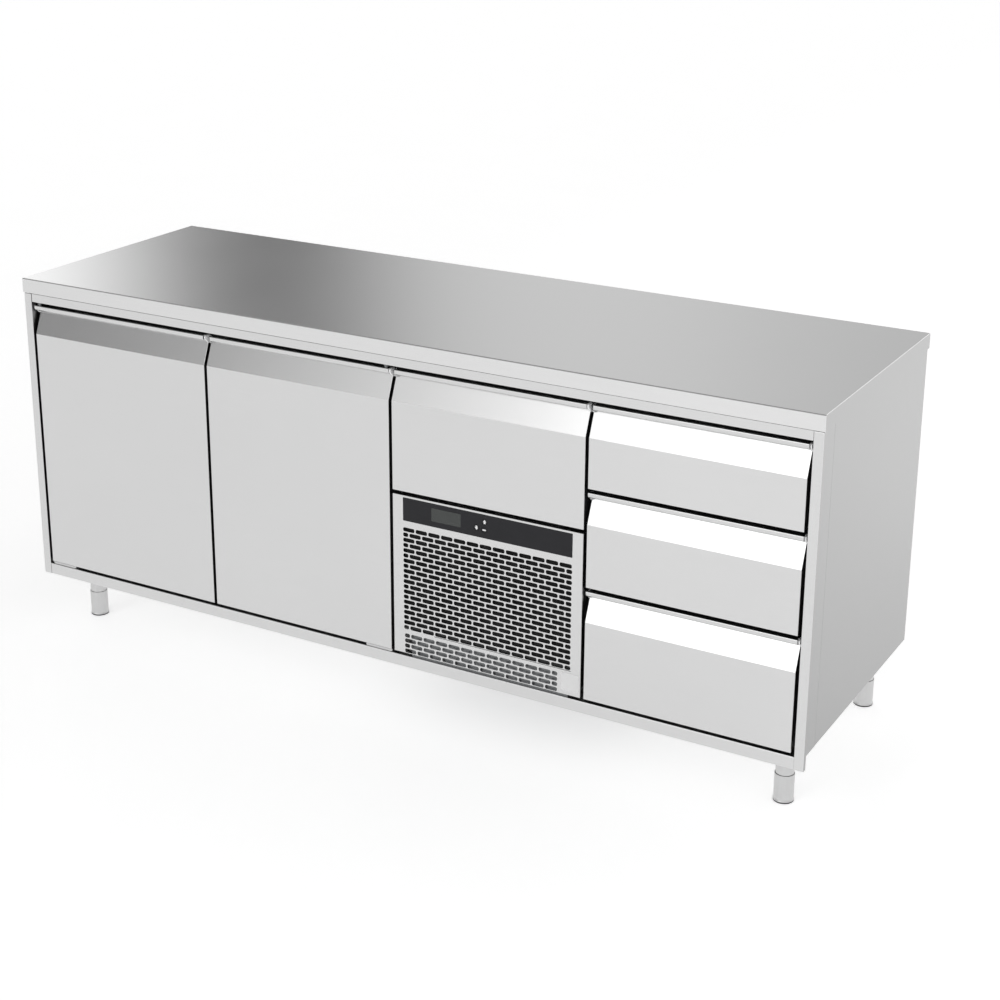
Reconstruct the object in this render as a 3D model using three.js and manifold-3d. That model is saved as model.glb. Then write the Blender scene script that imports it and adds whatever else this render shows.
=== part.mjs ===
// Refrigerated under-counter unit: two hinged doors, a machine column with a drawer over the
// condensing unit, and a column of three drawers, all under one stainless worktop on four legs.
// Millimetres. +Z is up, the front faces -Y, +X runs along the worktop.
// The origin is on the floor under the middle of the worktop.
import * as THREE from "three";
import { mergeVertices } from "three/addons/utils/BufferGeometryUtils.js";
import Module from "manifold-3d";

const wasm = await Module();
wasm.setup();

// ---- driving dimensions -------------------------------------------------------------------------
const WIDTH = 2025;
const DEPTH = 650;
const HEIGHT = 900;
const TOP_THICKNESS = 35;
const TOP_OVERHANG = 2; // front and sides
const TOP_REAR_OVERHANG = 5;
const TOP_EDGE_RADIUS = 3;

const FIT = 0.3; // gap kept between pieces that touch
const FRAME_DEPTH = 60; // front frame, in front of the sealing plane
const POST_WIDTH = 21;
const FRAME_SKIRT_DEPTH = 12; // the frame's lower edge hangs below the body as a thin skirt
const FRAME_BOTTOM = 136;
const TOP_RAIL_HEIGHT = 22;
const BOTTOM_RAIL_TOP = 164.6;
const RAIL_SETBACK = 1;
const BODY_BOTTOM = 167.5;

const GAP = 8; // between neighbouring fronts
const STACK_GAP = 8.5; // between fronts of one column
const FRONT_BOTTOM = 172;
const FRONT_TOP = 835.5;
const FRONT_THICKNESS = 48;
const COLUMN_EDGES = [-471, 29, 507]; // middles of the gaps between the four columns

const WALL = 50; // foamed walls
const FLOOR_THICKNESS = 40;
const MULLION = { width: 59, depth: 40 };
const CROSSBAR = { height: 36, depth: 40 };
const MACHINE_CEILING = { bottom: 535, thickness: 45 };

const HANDLE = {
  height: 71, // from the front's top down to where the slope meets the flat face
  slopeTop: 17,
  depth: 21.5,
  lipHeight: 13,
  lipSetback: 6, // of the lip's lower edge
  lipNose: 3,
};

const LEG = { insetX: 79, insetFront: 109, insetRear: 36, radius: 20.2, plate: 84, plateThickness: 4 };
const FOOT = { height: 65, radius: 21.7, baseRadius: 22.6, baseHeight: 4, socket: 30 };

const HINGE = {
  inset: 10, // of the pin, from the door's side and from its face
  pinRadius: 4,
  pinClearance: 0.1,
  pinLength: 8,
  length: 78,
  depth: 30,
  thickness: 3.4,
  setback: 2,
};
const GASKET = { inset: 4, width: 20, depth: 9 };

const DRAWER = { wall: 3, sideGap: 18, length: 486, flange: 10, railHeight: 12, railWidth: 14 };
const DRAWER_BOX_TOP_CLEARANCE = 12;

const GRILLE = {
  sheet: 3,
  slots: 6,
  rows: 12,
  rowPitch: 23,
  firstRowDrop: 30, // below the fascia
  slotHeight: 8,
  openShare: 0.85,
  margin: 27,
};
const FASCIA = { left: 60, right: 478, bottom: 492.5, top: 546.5, thickness: 3, proud: 0.8 };
const DISPLAY = { left: 132.5, right: 207.5, bottom: 505, top: 536.5 };
const KEY_RADIUS = 7;
const KEY_LENGTH = 5.5;
const KEYS = {
  key_down: { x: 246.5, z: 513.6 },
  key_up: { x: 266.6, z: 530 },
  key_set: { x: 265.6, z: 511.4 },
};

const SHELF_HEIGHT = 497;
const SHELF = { thickness: 7, rim: 7, rod: 4, rods: 14, sideGap: 3 };
const LEDGE = { width: 12, height: 12, endGap: 12 };

const GLAND = { x: 430, z: 240, radius: 11, bore: 5, flangeRadius: 17, flange: 4 };
const VENTS = { columns: [100, 280], length: 150, rows: 6, bottom: 300, pitch: 32, height: 14 };
const COIL = { left: 82, right: 392, setback: 14, depth: 54, bottom: 190, top: 470, bends: 5 };
const FAN = { x: 237, z: 330, opening: 98, blade: 90, hub: 24, depth: 22, motor: 38, motorLength: 60 };
const SHROUD_DEPTH = 34;
const COMPRESSOR = { x: 368, y: 150, radius: 76, height: 180, lift: 18 };
const EVAPORATOR = { left: -410, right: -60, depth: 71, bottom: 620, top: 800, opening: 74, recess: 44 };
const EVAPORATOR_FAN = { x: -235, z: 710, blade: 66, hub: 18, depth: 14, setback: 11 };
const BLADES = { count: 5, pitch: 0.45, thickness: 2.4 };
const ROUND = 24; // sides of a round piece

// ---- places worked out from them -----------------------------------------------------------------
const FRONT_Y = -DEPTH / 2 + TOP_OVERHANG;
const SEAL_Y = FRONT_Y + FRAME_DEPTH;
const BACK_Y = DEPTH / 2 - TOP_REAR_OVERHANG;
const INNER_BACK_Y = BACK_Y - WALL;
const TOP_Z = HEIGHT - TOP_THICKNESS;
const SIDE_X = WIDTH / 2 - TOP_OVERHANG;
const POST_INNER_X = SIDE_X - POST_WIDTH;
const INNER_X = SIDE_X - WALL;
const FLOOR_Z = BODY_BOTTOM + FLOOR_THICKNESS;
const CEILING_Z = TOP_Z - WALL;
const RAIL_BOTTOM_Z = TOP_Z - TOP_RAIL_HEIGHT;
const FRONT_BACK_Y = FRONT_Y + FRONT_THICKNESS;

const columns = [
  { left: -POST_INNER_X + GAP, right: COLUMN_EDGES[0] - GAP / 2 },
  { left: COLUMN_EDGES[0] + GAP / 2, right: COLUMN_EDGES[1] - GAP / 2 },
  { left: COLUMN_EDGES[1] + GAP / 2, right: COLUMN_EDGES[2] - GAP / 2 },
  { left: COLUMN_EDGES[2] + GAP / 2, right: POST_INNER_X - GAP },
];
const dividers = [COLUMN_EDGES[1], COLUMN_EDGES[2]].map((x) => ({ left: x - WALL / 2, right: x + WALL / 2 }));

const machineDrawer = { column: 2, bottom: 560, top: FRONT_TOP };
const machinePanelTop = machineDrawer.bottom - STACK_GAP;
const drawerHeights = [251, 213];
const bottomDrawer = { column: 3, bottom: FRONT_BOTTOM, top: FRONT_BOTTOM + drawerHeights[0] };
const middleDrawer = {
  column: 3,
  bottom: bottomDrawer.top + STACK_GAP,
  top: bottomDrawer.top + STACK_GAP + drawerHeights[1],
};
const topDrawer = { column: 3, bottom: middleDrawer.top + STACK_GAP, top: FRONT_TOP };

// ---- materials ------------------------------------------------------------------------------------
function metal(color, roughness) {
  return new THREE.MeshStandardMaterial({ color, roughness, metalness: 1 });
}
function plastic(color, roughness) {
  return new THREE.MeshStandardMaterial({ color, roughness, metalness: 0 });
}
const materials = {
  worktop: metal(0xb9bbba, 0.25),
  stainless: metal(0xd2d3d2, 0.35),
  liner: metal(0xc4c6c6, 0.4),
  galvanised: metal(0x8d9091, 0.5),
  aluminium: metal(0xb0b3b6, 0.45),
  rubber: plastic(0x101012, 0.7),
  fascia: plastic(0x313136, 0.35),
  display: plastic(0x555855, 0.2),
  key: plastic(0xe8e8e8, 0.4),
  black: plastic(0x18181a, 0.5),
};

// ---- shape helpers ----------------------------------------------------------------------------------
function solid(geometry) {
  const bare = geometry.index ? geometry.clone() : geometry;
  bare.deleteAttribute("normal");
  bare.deleteAttribute("uv");
  const merged = mergeVertices(bare, 1e-4);
  return new wasm.Manifold(
    new wasm.Mesh({
      numProp: 3,
      vertProperties: merged.attributes.position.array,
      triVerts: new Uint32Array(merged.index.array),
    }),
  );
}

function geometryOf(manifold) {
  const mesh = manifold.getMesh();
  const geometry = new THREE.BufferGeometry();
  geometry.setAttribute("position", new THREE.BufferAttribute(mesh.vertProperties, 3));
  geometry.setIndex(new THREE.BufferAttribute(mesh.triVerts, 1));
  geometry.computeVertexNormals();
  return geometry;
}

function join(first, ...others) {
  return geometryOf(others.reduce((sum, g) => sum.add(solid(g)), solid(first)));
}

function cut(body, ...tools) {
  return geometryOf(tools.reduce((rest, g) => rest.subtract(solid(g)), solid(body)));
}

function box([x0, x1], [y0, y1], [z0, z1]) {
  const geometry = new THREE.BoxGeometry(x1 - x0, y1 - y0, z1 - z0);
  return geometry.translate((x0 + x1) / 2, (y0 + y1) / 2, (z0 + z1) / 2);
}

// A cylinder on an axis through a point, from "from" to "to" along that axis.
function cylinder(axis, radius, from, to, [a, b], sides = ROUND) {
  const geometry = new THREE.CylinderGeometry(radius, radius, to - from, sides);
  const middle = (from + to) / 2;
  if (axis === "z") return geometry.rotateX(Math.PI / 2).translate(a, b, middle);
  if (axis === "x") return geometry.rotateZ(Math.PI / 2).translate(middle, a, b);
  return geometry.translate(a, middle, b);
}

// A profile of [y, z] points, drawn out along X.
function alongX(points, [x0, x1]) {
  const shape = new THREE.Shape(points.map(([y, z]) => new THREE.Vector2(y, z)));
  const geometry = new THREE.ExtrudeGeometry(shape, { depth: x1 - x0, bevelEnabled: false });
  const axes = new THREE.Matrix4().makeBasis(
    new THREE.Vector3(0, 1, 0),
    new THREE.Vector3(0, 0, 1),
    new THREE.Vector3(1, 0, 0),
  );
  return geometry.applyMatrix4(axes).translate(x0, 0, 0);
}

// A ring of revolution about Z from [radius, z] points that close on the axis or on themselves.
function turned(points, sides = ROUND) {
  const outline = points.map(([r, z]) => new THREE.Vector2(r, z));
  return new THREE.LatheGeometry(outline, sides).rotateX(Math.PI / 2);
}

// A rectangle with a rectangular hole, drawn out along Y.
function frameAlongY([x0, x1], [z0, z1], border, [y0, y1]) {
  return cut(
    box([x0, x1], [y0, y1], [z0, z1]),
    box([x0 + border, x1 - border], [y0 - 1, y1 + 1], [z0 + border, z1 - border]),
  );
}

const cabinet = new THREE.Group();
function add(name, geometry, material, position = [0, 0, 0]) {
  const mesh = new THREE.Mesh(geometry, material);
  mesh.name = name;
  mesh.position.set(...position);
  cabinet.add(mesh);
  return mesh;
}

// ---- worktop and front frame ----------------------------------------------------------------------
function arc(cx, cz, radius, from, to, steps) {
  return Array.from({ length: steps + 1 }, (_, i) => {
    const angle = from + ((to - from) * i) / steps;
    return [cx + radius * Math.cos(angle), cz + radius * Math.sin(angle)];
  });
}

function makeWorktop() {
  const r = TOP_EDGE_RADIUS;
  const profile = [
    [-DEPTH / 2, TOP_Z],
    ...arc(-DEPTH / 2 + r, HEIGHT - r, r, Math.PI, Math.PI / 2, 3),
    ...arc(DEPTH / 2 - r, HEIGHT - r, r, Math.PI / 2, 0, 3),
    [DEPTH / 2, TOP_Z],
  ].reverse();
  add("worktop", alongX(profile, [-WIDTH / 2, WIDTH / 2]), materials.worktop);
}

// Posts and bottom rail share one section: deep above the body's underside, a thin skirt below it.
function frameSection(front, bottom, shoulder, top) {
  return [
    [front, bottom],
    [front + FRAME_SKIRT_DEPTH, bottom],
    [front + FRAME_SKIRT_DEPTH, shoulder],
    [SEAL_Y - FIT, shoulder],
    [SEAL_Y - FIT, top],
    [front, top],
  ];
}

function makeFrontFrame() {
  const post = frameSection(FRONT_Y, FRAME_BOTTOM, BODY_BOTTOM, TOP_Z - FIT);
  add("left_post", alongX(post, [-SIDE_X, -POST_INNER_X]), materials.stainless);
  add("right_post", alongX(post, [POST_INNER_X, SIDE_X]), materials.stainless);
  const between = [-POST_INNER_X + FIT, POST_INNER_X - FIT];
  const railFront = FRONT_Y + RAIL_SETBACK;
  const topRail = box(between, [railFront, SEAL_Y - FIT], [RAIL_BOTTOM_Z, TOP_Z - FIT]);
  add("top_rail", topRail, materials.stainless);
  const rail = frameSection(railFront, FRAME_BOTTOM, BOTTOM_RAIL_TOP - FRAME_SKIRT_DEPTH, BOTTOM_RAIL_TOP);
  add("bottom_rail", alongX(rail, between), materials.stainless);
}

// ---- foamed body ----------------------------------------------------------------------------------
const bodyY = [SEAL_Y, BACK_Y];
const innerY = [SEAL_Y, INNER_BACK_Y - FIT];
const bodyZ = [BODY_BOTTOM, TOP_Z - FIT];
const innerZ = [FLOOR_Z + FIT, CEILING_Z - FIT];

// A pressed ledge on a wall, which carries a shelf or a drawer's flange.
function ledge(wallX, direction, top) {
  const xs = [wallX - direction, wallX + direction * LEDGE.width].sort((a, b) => a - b);
  return box(xs, [SEAL_Y + LEDGE.endGap, INNER_BACK_Y - LEDGE.endGap], [top - LEDGE.height, top]);
}

const machineBoxBottom = MACHINE_CEILING.bottom + MACHINE_CEILING.thickness + 6;
const machineFlangeZ = machineBoxBottom + 40;

function makeBody() {
  const steel = materials.stainless;
  const inside = materials.liner;
  const left = box([-SIDE_X, -INNER_X], bodyY, bodyZ);
  add("left_side_panel", join(left, ledge(-INNER_X, 1, SHELF_HEIGHT)), steel);
  add("right_side_panel", box([INNER_X, SIDE_X], bodyY, bodyZ), steel);

  const between = [-INNER_X + FIT, INNER_X - FIT];
  const throughBack = [INNER_BACK_Y - 1, BACK_Y + 1];
  const vents = VENTS.columns.flatMap((x) =>
    Array.from({ length: VENTS.rows }, (_, i) => {
      const z = VENTS.bottom + i * VENTS.pitch;
      return box([x, x + VENTS.length], throughBack, [z, z + VENTS.height]);
    }),
  );
  const glandHole = cylinder("y", GLAND.radius + FIT, ...throughBack, [GLAND.x, GLAND.z]);
  const rear = cut(box(between, [INNER_BACK_Y, BACK_Y], bodyZ), glandHole, ...vents);
  add("rear_panel", rear, steel);

  add("ceiling_panel", box(between, innerY, [CEILING_Z, TOP_Z - FIT]), inside);
  const floorZ = [BODY_BOTTOM, FLOOR_Z];
  add("left_floor_panel", box([-INNER_X + FIT, dividers[0].left - FIT], innerY, floorZ), inside);
  add("right_floor_panel", box([dividers[1].right + FIT, INNER_X - FIT], innerY, floorZ), inside);

  const [leftWall, rightWall] = dividers;
  const wallZ = [BODY_BOTTOM, CEILING_Z - FIT];
  const leftDivider = join(
    box([leftWall.left, leftWall.right], innerY, wallZ),
    ledge(leftWall.left, -1, SHELF_HEIGHT),
    ledge(leftWall.right, 1, machineFlangeZ - FIT),
  );
  add("left_divider", leftDivider, inside);
  const rightDivider = join(
    box([rightWall.left, rightWall.right], innerY, wallZ),
    ledge(rightWall.left, -1, machineFlangeZ - FIT),
  );
  add("right_divider", rightDivider, inside);

  const machineX = [leftWall.right + FIT, rightWall.left - FIT];
  const ceilingZ = [MACHINE_CEILING.bottom, MACHINE_CEILING.bottom + MACHINE_CEILING.thickness];
  add("machine_ceiling", box(machineX, innerY, ceilingZ), inside);

  const mullionX = [COLUMN_EDGES[0] - MULLION.width / 2, COLUMN_EDGES[0] + MULLION.width / 2];
  add("door_mullion", box(mullionX, [SEAL_Y, SEAL_Y + MULLION.depth], innerZ), inside);

  const barX = [rightWall.right + FIT, INNER_X - FIT];
  const barY = [SEAL_Y, SEAL_Y + CROSSBAR.depth];
  for (const [name, drawer] of [["upper_crossbar", topDrawer], ["lower_crossbar", middleDrawer]]) {
    const middle = drawer.bottom - STACK_GAP / 2;
    const bar = box(barX, barY, [middle - CROSSBAR.height / 2, middle + CROSSBAR.height / 2]);
    add(name, bar, inside);
  }
}

// ---- fronts -----------------------------------------------------------------------------------------
// Section of every door and drawer front: flat face, a slope going back into a finger pocket, and
// a rounded lip over the pocket.
function frontSection(bottom, top) {
  const y = (setback) => FRONT_Y + setback;
  const h = HANDLE;
  return [
    [y(0), bottom],
    [FRONT_BACK_Y, bottom],
    [FRONT_BACK_Y, top],
    ...arc(y(h.lipNose), top - h.lipNose, h.lipNose, Math.PI / 2, Math.PI, 3),
    [y(0.8), top - 0.55 * h.lipHeight],
    [y(h.lipSetback * 0.45), top - 0.85 * h.lipHeight],
    [y(h.lipSetback), top - h.lipHeight],
    [y(h.depth), top - h.lipHeight - 1],
    [y(h.depth), top - h.slopeTop],
    [y(0), top - h.height],
  ];
}

function makeFront(name, { column, bottom, top }, ...holes) {
  const { left, right } = columns[column];
  const whole = alongX(frontSection(bottom, top), [left, right]);
  add(name, holes.length ? cut(whole, ...holes) : whole, materials.stainless);
}

function makeDoor(prefix, column, hingeSide) {
  const { left, right } = columns[column];
  const pinX = hingeSide < 0 ? left + HINGE.inset : right - HINGE.inset;
  const pinY = FRONT_Y + HINGE.inset;
  const boreRadius = HINGE.pinRadius + HINGE.pinClearance;
  const boreDepth = HINGE.pinLength + 1;
  const bores = [
    cylinder("z", boreRadius, FRONT_BOTTOM - 1, FRONT_BOTTOM + boreDepth, [pinX, pinY]),
    cylinder("z", boreRadius, FRONT_TOP - boreDepth, FRONT_TOP + 1, [pinX, pinY]),
  ];
  makeFront(prefix + "_panel", { column, bottom: FRONT_BOTTOM, top: FRONT_TOP }, ...bores);

  const i = GASKET.inset;
  const gasketY = [FRONT_BACK_Y + FIT, FRONT_BACK_Y + FIT + GASKET.depth];
  const gasketZ = [FRONT_BOTTOM + i, FRONT_TOP - i];
  const gasket = frameAlongY([left + i, right - i], gasketZ, GASKET.width, gasketY);
  add(prefix + "_gasket", gasket, materials.rubber);

  makeHinges(prefix, hingeSide, pinX, pinY);
}

// Each door turns on two fixed plates with a pin: one on the bottom rail, one under the top rail.
function makeHinges(prefix, hingeSide, pinX, pinY) {
  const outer = pinX + hingeSide * (HINGE.inset + GAP - 2);
  const inner = outer - hingeSide * HINGE.length;
  const xs = [Math.min(outer, inner), Math.max(outer, inner)];
  const ys = [FRONT_Y + HINGE.setback, FRONT_Y + HINGE.setback + HINGE.depth];
  const low = BOTTOM_RAIL_TOP + FIT;
  const lowPin = cylinder("z", HINGE.pinRadius, low + 1, FRONT_BOTTOM + HINGE.pinLength, [pinX, pinY]);
  const lowPlate = box(xs, ys, [low, low + HINGE.thickness]);
  add(prefix + "_bottom_hinge", join(lowPlate, lowPin), materials.stainless);
  const high = RAIL_BOTTOM_Z - FIT;
  const highPin = cylinder("z", HINGE.pinRadius, FRONT_TOP - HINGE.pinLength, high - 1, [pinX, pinY]);
  const highPlate = box(xs, ys, [high - HINGE.thickness, high]);
  add(prefix + "_top_hinge", join(highPlate, highPin), materials.stainless);
}

// A drawer: insulated front, and a sheet box with a flange down each side that runs on a fixed rail.
function makeDrawer(name, drawer, wallLeft, wallRight, boxBottom, boxTop, flangeZ) {
  makeFront(name + "_front", drawer);
  const xs = [wallLeft + DRAWER.sideGap, wallRight - DRAWER.sideGap];
  const ys = [FRONT_BACK_Y + FIT, FRONT_BACK_Y + FIT + DRAWER.length];
  const w = DRAWER.wall;
  const tray = cut(
    box(xs, ys, [boxBottom, boxTop]),
    box([xs[0] + w, xs[1] - w], [ys[0] + w, ys[1] - w], [boxBottom + w, boxTop + 1]),
  );
  const flangeReach = DRAWER.sideGap - 4;
  const flangeY = [ys[0] + 20, ys[1] - 4];
  const flangeRange = [flangeZ, flangeZ + DRAWER.flange];
  const flanges = [
    box([xs[0] - flangeReach, xs[0] + 1], flangeY, flangeRange),
    box([xs[1] - 1, xs[1] + flangeReach], flangeY, flangeRange),
  ];
  add(name + "_box", join(tray, ...flanges), materials.liner);
}

function drawerSpace(bottomLimit, topLimit) {
  const bottom = bottomLimit + 6;
  return { bottom, top: topLimit - DRAWER_BOX_TOP_CLEARANCE, flange: bottom + 40 };
}

const crossbarOffset = CROSSBAR.height / 2 - STACK_GAP / 2;
const drawerSpaces = {
  bottom_drawer: drawerSpace(FLOOR_Z, bottomDrawer.top - crossbarOffset),
  middle_drawer: drawerSpace(middleDrawer.bottom + crossbarOffset, middleDrawer.top - crossbarOffset),
  top_drawer: drawerSpace(topDrawer.bottom + crossbarOffset, CEILING_Z),
};

function makeDrawers() {
  const [leftWall, rightWall] = dividers;
  makeDrawer(
    "machine_drawer",
    machineDrawer,
    leftWall.right,
    rightWall.left,
    machineBoxBottom,
    CEILING_Z - DRAWER_BOX_TOP_CLEARANCE,
    machineFlangeZ,
  );
  const fronts = { bottom_drawer: bottomDrawer, middle_drawer: middleDrawer, top_drawer: topDrawer };
  for (const [name, space] of Object.entries(drawerSpaces)) {
    makeDrawer(name, fronts[name], rightWall.right, INNER_X, space.bottom, space.top, space.flange);
  }
  makeRack("left_drawer_rack", rightWall.right + FIT, 1);
  makeRack("right_drawer_rack", INNER_X - FIT, -1);
}

// Two uprights and a rail for each drawer, against one wall of the drawer column.
function makeRack(name, wallX, direction) {
  const strip = (thickness) => [wallX, wallX + direction * thickness].sort((a, b) => a - b);
  const uprightZ = [FLOOR_Z + 2, CEILING_Z - 2];
  const uprights = [SEAL_Y + CROSSBAR.depth + 4, INNER_BACK_Y - 40].map((y) =>
    box(strip(3), [y, y + 26], uprightZ),
  );
  const railY = [SEAL_Y + 8, INNER_BACK_Y - 30];
  const rails = Object.values(drawerSpaces).map(({ flange }) => {
    const top = flange - FIT;
    return box(strip(DRAWER.railWidth), railY, [top - DRAWER.railHeight, top]);
  });
  add(name, join(uprights[0], ...rails, uprights[1]), materials.galvanised);
}

// ---- shelves ----------------------------------------------------------------------------------------
function makeShelf(name, [x0, x1]) {
  const ys = [SEAL_Y + MULLION.depth + 6, INNER_BACK_Y - 8];
  const zs = [SHELF_HEIGHT + FIT, SHELF_HEIGHT + FIT + SHELF.thickness];
  const { rim, rod, rods } = SHELF;
  const outer = cut(
    box([x0, x1], ys, zs),
    box([x0 + rim, x1 - rim], [ys[0] + rim, ys[1] - rim], [zs[0] - 1, zs[1] + 1]),
  );
  const pitch = (x1 - x0 - rim) / (rods + 1);
  const bars = Array.from({ length: rods }, (_, i) => {
    const x = x0 + rim / 2 + pitch * (i + 1);
    return box([x - rod / 2, x + rod / 2], [ys[0] + 1, ys[1] - 1], [zs[0] + 2, zs[1] - 1]);
  });
  add(name, join(outer, ...bars), materials.galvanised);
}

function makeShelves() {
  const middle = COLUMN_EDGES[0];
  const railHalf = 13;
  const railY = [SEAL_Y + MULLION.depth + FIT, INNER_BACK_Y - FIT];
  const railZ = [SHELF_HEIGHT - LEDGE.height, SHELF_HEIGHT];
  add("shelf_centre_rail", box([middle - railHalf, middle + railHalf], railY, railZ), materials.galvanised);
  makeShelf("left_shelf", [-INNER_X + SHELF.sideGap, middle - SHELF.sideGap]);
  makeShelf("right_shelf", [middle + SHELF.sideGap, dividers[0].left - SHELF.sideGap]);
}

// ---- machine compartment ----------------------------------------------------------------------------
function makeTray() {
  const [leftWall, rightWall] = dividers;
  const zs = [BOTTOM_RAIL_TOP + FIT, BODY_BOTTOM - FIT];
  const plate = box([leftWall.left + 16, rightWall.right - 16], [SEAL_Y, INNER_BACK_Y - 10], zs);
  const tongue = box([76, 470], [FRONT_Y + 5, SEAL_Y + 1], zs);
  add("machine_tray", join(plate, tongue), materials.galvanised);
}

// The cover in front of the machine: a pan with air slots and a cut-out for the control fascia.
function makeGrillePanel() {
  const { left, right } = columns[2];
  const top = machinePanelTop;
  const sheet = GRILLE.sheet;
  const backY = SEAL_Y - FIT;
  const pan = cut(
    box([left, right], [FRONT_Y, backY], [FRONT_BOTTOM, top]),
    box([left + sheet, right - sheet], [FRONT_Y + sheet, backY + 1], [FRONT_BOTTOM - 1, top - sheet]),
  );
  const throughSheet = [FRONT_Y - 1, FRONT_Y + sheet + 1];
  const window = box(
    [FASCIA.left - FIT, FASCIA.right + FIT],
    throughSheet,
    [FASCIA.bottom - FIT, FASCIA.top + FIT],
  );
  const slotLeft = left + GRILLE.margin;
  const slotPitch = (right - left - 2 * GRILLE.margin) / GRILLE.slots;
  const slotLength = slotPitch * GRILLE.openShare;
  const firstRow = FASCIA.bottom - GRILLE.firstRowDrop;
  const slots = [];
  for (let row = 0; row < GRILLE.rows; row += 1) {
    for (let i = 0; i < GRILLE.slots; i += 1) {
      const x = slotLeft + i * slotPitch;
      const z = firstRow - row * GRILLE.rowPitch;
      slots.push(box([x, x + slotLength], throughSheet, [z - GRILLE.slotHeight, z]));
    }
  }
  add("grille_panel", cut(pan, window, ...slots), materials.stainless);
}

function makeControls() {
  const ys = [FRONT_Y - FASCIA.proud, FRONT_Y - FASCIA.proud + FASCIA.thickness];
  const through = [ys[0] - 1, ys[1] + 1];
  const plate = box([FASCIA.left, FASCIA.right], ys, [FASCIA.bottom, FASCIA.top]);
  const keyHoles = Object.values(KEYS).map(({ x, z }) => cylinder("y", KEY_RADIUS + FIT, ...through, [x, z]));
  const window = box([DISPLAY.left, DISPLAY.right], through, [DISPLAY.bottom, DISPLAY.top]);
  add("control_fascia", cut(plate, window, ...keyHoles), materials.fascia);
  const glass = box(
    [DISPLAY.left + FIT, DISPLAY.right - FIT],
    ys,
    [DISPLAY.bottom + FIT, DISPLAY.top - FIT],
  );
  add("display_window", glass, materials.display);
  for (const [name, { x, z }] of Object.entries(KEYS)) {
    const front = ys[0] - 0.2;
    add(name, cylinder("y", KEY_RADIUS, 0, KEY_LENGTH, [0, 0]), materials.key, [x, front, z]);
  }
}

function makeCompressor() {
  const { radius, height, lift } = COMPRESSOR;
  const dome = [
    [0, 0],
    ...arc(radius - 26, 26, 26, -Math.PI / 2, 0, 4),
    ...arc(radius - 40, height - 40, 40, 0, Math.PI / 2, 5),
    [0, height],
  ];
  const shell = turned(dome).translate(0, 0, lift);
  const foot = box([-100, 100], [-70, 70], [lift - 6, lift + 4]);
  const mounts = [-84, 84].flatMap((x) =>
    [-54, 54].map((y) => cylinder("z", 12, 0, lift - 4, [x, y], 12)),
  );
  const terminals = box([-30, 30], [-radius - 22, -radius + 14], [70, 130]);
  const place = [COMPRESSOR.x, COMPRESSOR.y, BODY_BOTTOM];
  add("compressor", join(shell, foot, terminals, ...mounts), materials.black, place);
}

// Finned coil behind the grille, and the fan that draws air through it.
function makeCondenser() {
  const { left, right, bottom, top } = COIL;
  const front = SEAL_Y + COIL.setback;
  const ys = [front, front + COIL.depth];
  const inset = [ys[0] + 8, ys[1] - 8];
  const block = box([left, right], ys, [bottom, top]);
  const legs = [left + 12, right - 32].map((x) => box([x, x + 20], inset, [BODY_BOTTOM, bottom + 1]));
  const bendPitch = (top - bottom) / COIL.bends;
  const bends = Array.from({ length: COIL.bends }, (_, i) => {
    const z = bottom + bendPitch * (i + 0.5);
    return box([right - 1, right + 12], inset, [z - 14, z + 14]);
  });
  add("condenser_coil", join(block, ...legs, ...bends), materials.aluminium);

  const shroudY = [ys[1] + FIT, ys[1] + FIT + SHROUD_DEPTH];
  const middle = [FAN.x, FAN.z];
  const plate = box([left, right], shroudY, [bottom, top]);
  const opening = cylinder("y", FAN.opening, shroudY[0] - 1, shroudY[1] + 1, middle, 32);
  const motorFront = shroudY[1] + 2;
  const motor = cylinder("y", FAN.motor, motorFront, motorFront + FAN.motorLength, middle);
  const reach = FAN.opening + 14;
  const strutZ = [FAN.z - 8, FAN.z + 8];
  const strut = box([FAN.x - reach, FAN.x + reach], [motorFront, motorFront + 5], strutZ);
  const strutEnds = [FAN.x - reach, FAN.x + reach - 10].map((x) =>
    box([x, x + 10], [shroudY[1] - 1, motorFront + 4], strutZ),
  );
  const shroud = join(cut(plate, opening), strut, motor, ...strutEnds);
  add("condenser_fan_shroud", shroud, materials.black);
  const bladeY = (shroudY[0] + shroudY[1]) / 2;
  add("condenser_fan_blade", fanBlade(FAN), materials.black, [FAN.x, bladeY, FAN.z]);
}

// A hub with pitched blades, turning about Y.
function fanBlade({ blade, hub, depth }) {
  const root = hub - 4;
  const reach = blade - root;
  const blades = Array.from({ length: BLADES.count }, (_, i) => {
    const vane = new THREE.BoxGeometry(reach, BLADES.thickness, depth * 1.8);
    vane.rotateX(BLADES.pitch).translate(root + reach / 2, 0, 0);
    return vane.rotateY((i * 2 * Math.PI) / BLADES.count);
  });
  return join(cylinder("y", hub, -depth / 2, depth / 2, [0, 0]), ...blades);
}

// The cold coil and its housing, as one block with a recess for the fan.
function makeEvaporator() {
  const { left, right, bottom, top, opening, recess } = EVAPORATOR;
  const front = INNER_BACK_Y - 2 - EVAPORATOR.depth;
  const { x, z, hub, depth, setback } = EVAPORATOR_FAN;
  const block = cut(
    box([left, right], [front, front + EVAPORATOR.depth], [bottom, top]),
    cylinder("y", opening, front - 1, front + recess, [x, z], 32),
  );
  const motorFront = front + setback + depth + 2;
  const motor = cylinder("y", hub - 2, motorFront, front + recess + 1, [x, z]);
  add("evaporator", join(block, motor), materials.aluminium);
  const bladeY = front + setback + depth / 2;
  add("evaporator_fan_blade", fanBlade(EVAPORATOR_FAN), materials.black, [x, bladeY, z]);
}

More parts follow.
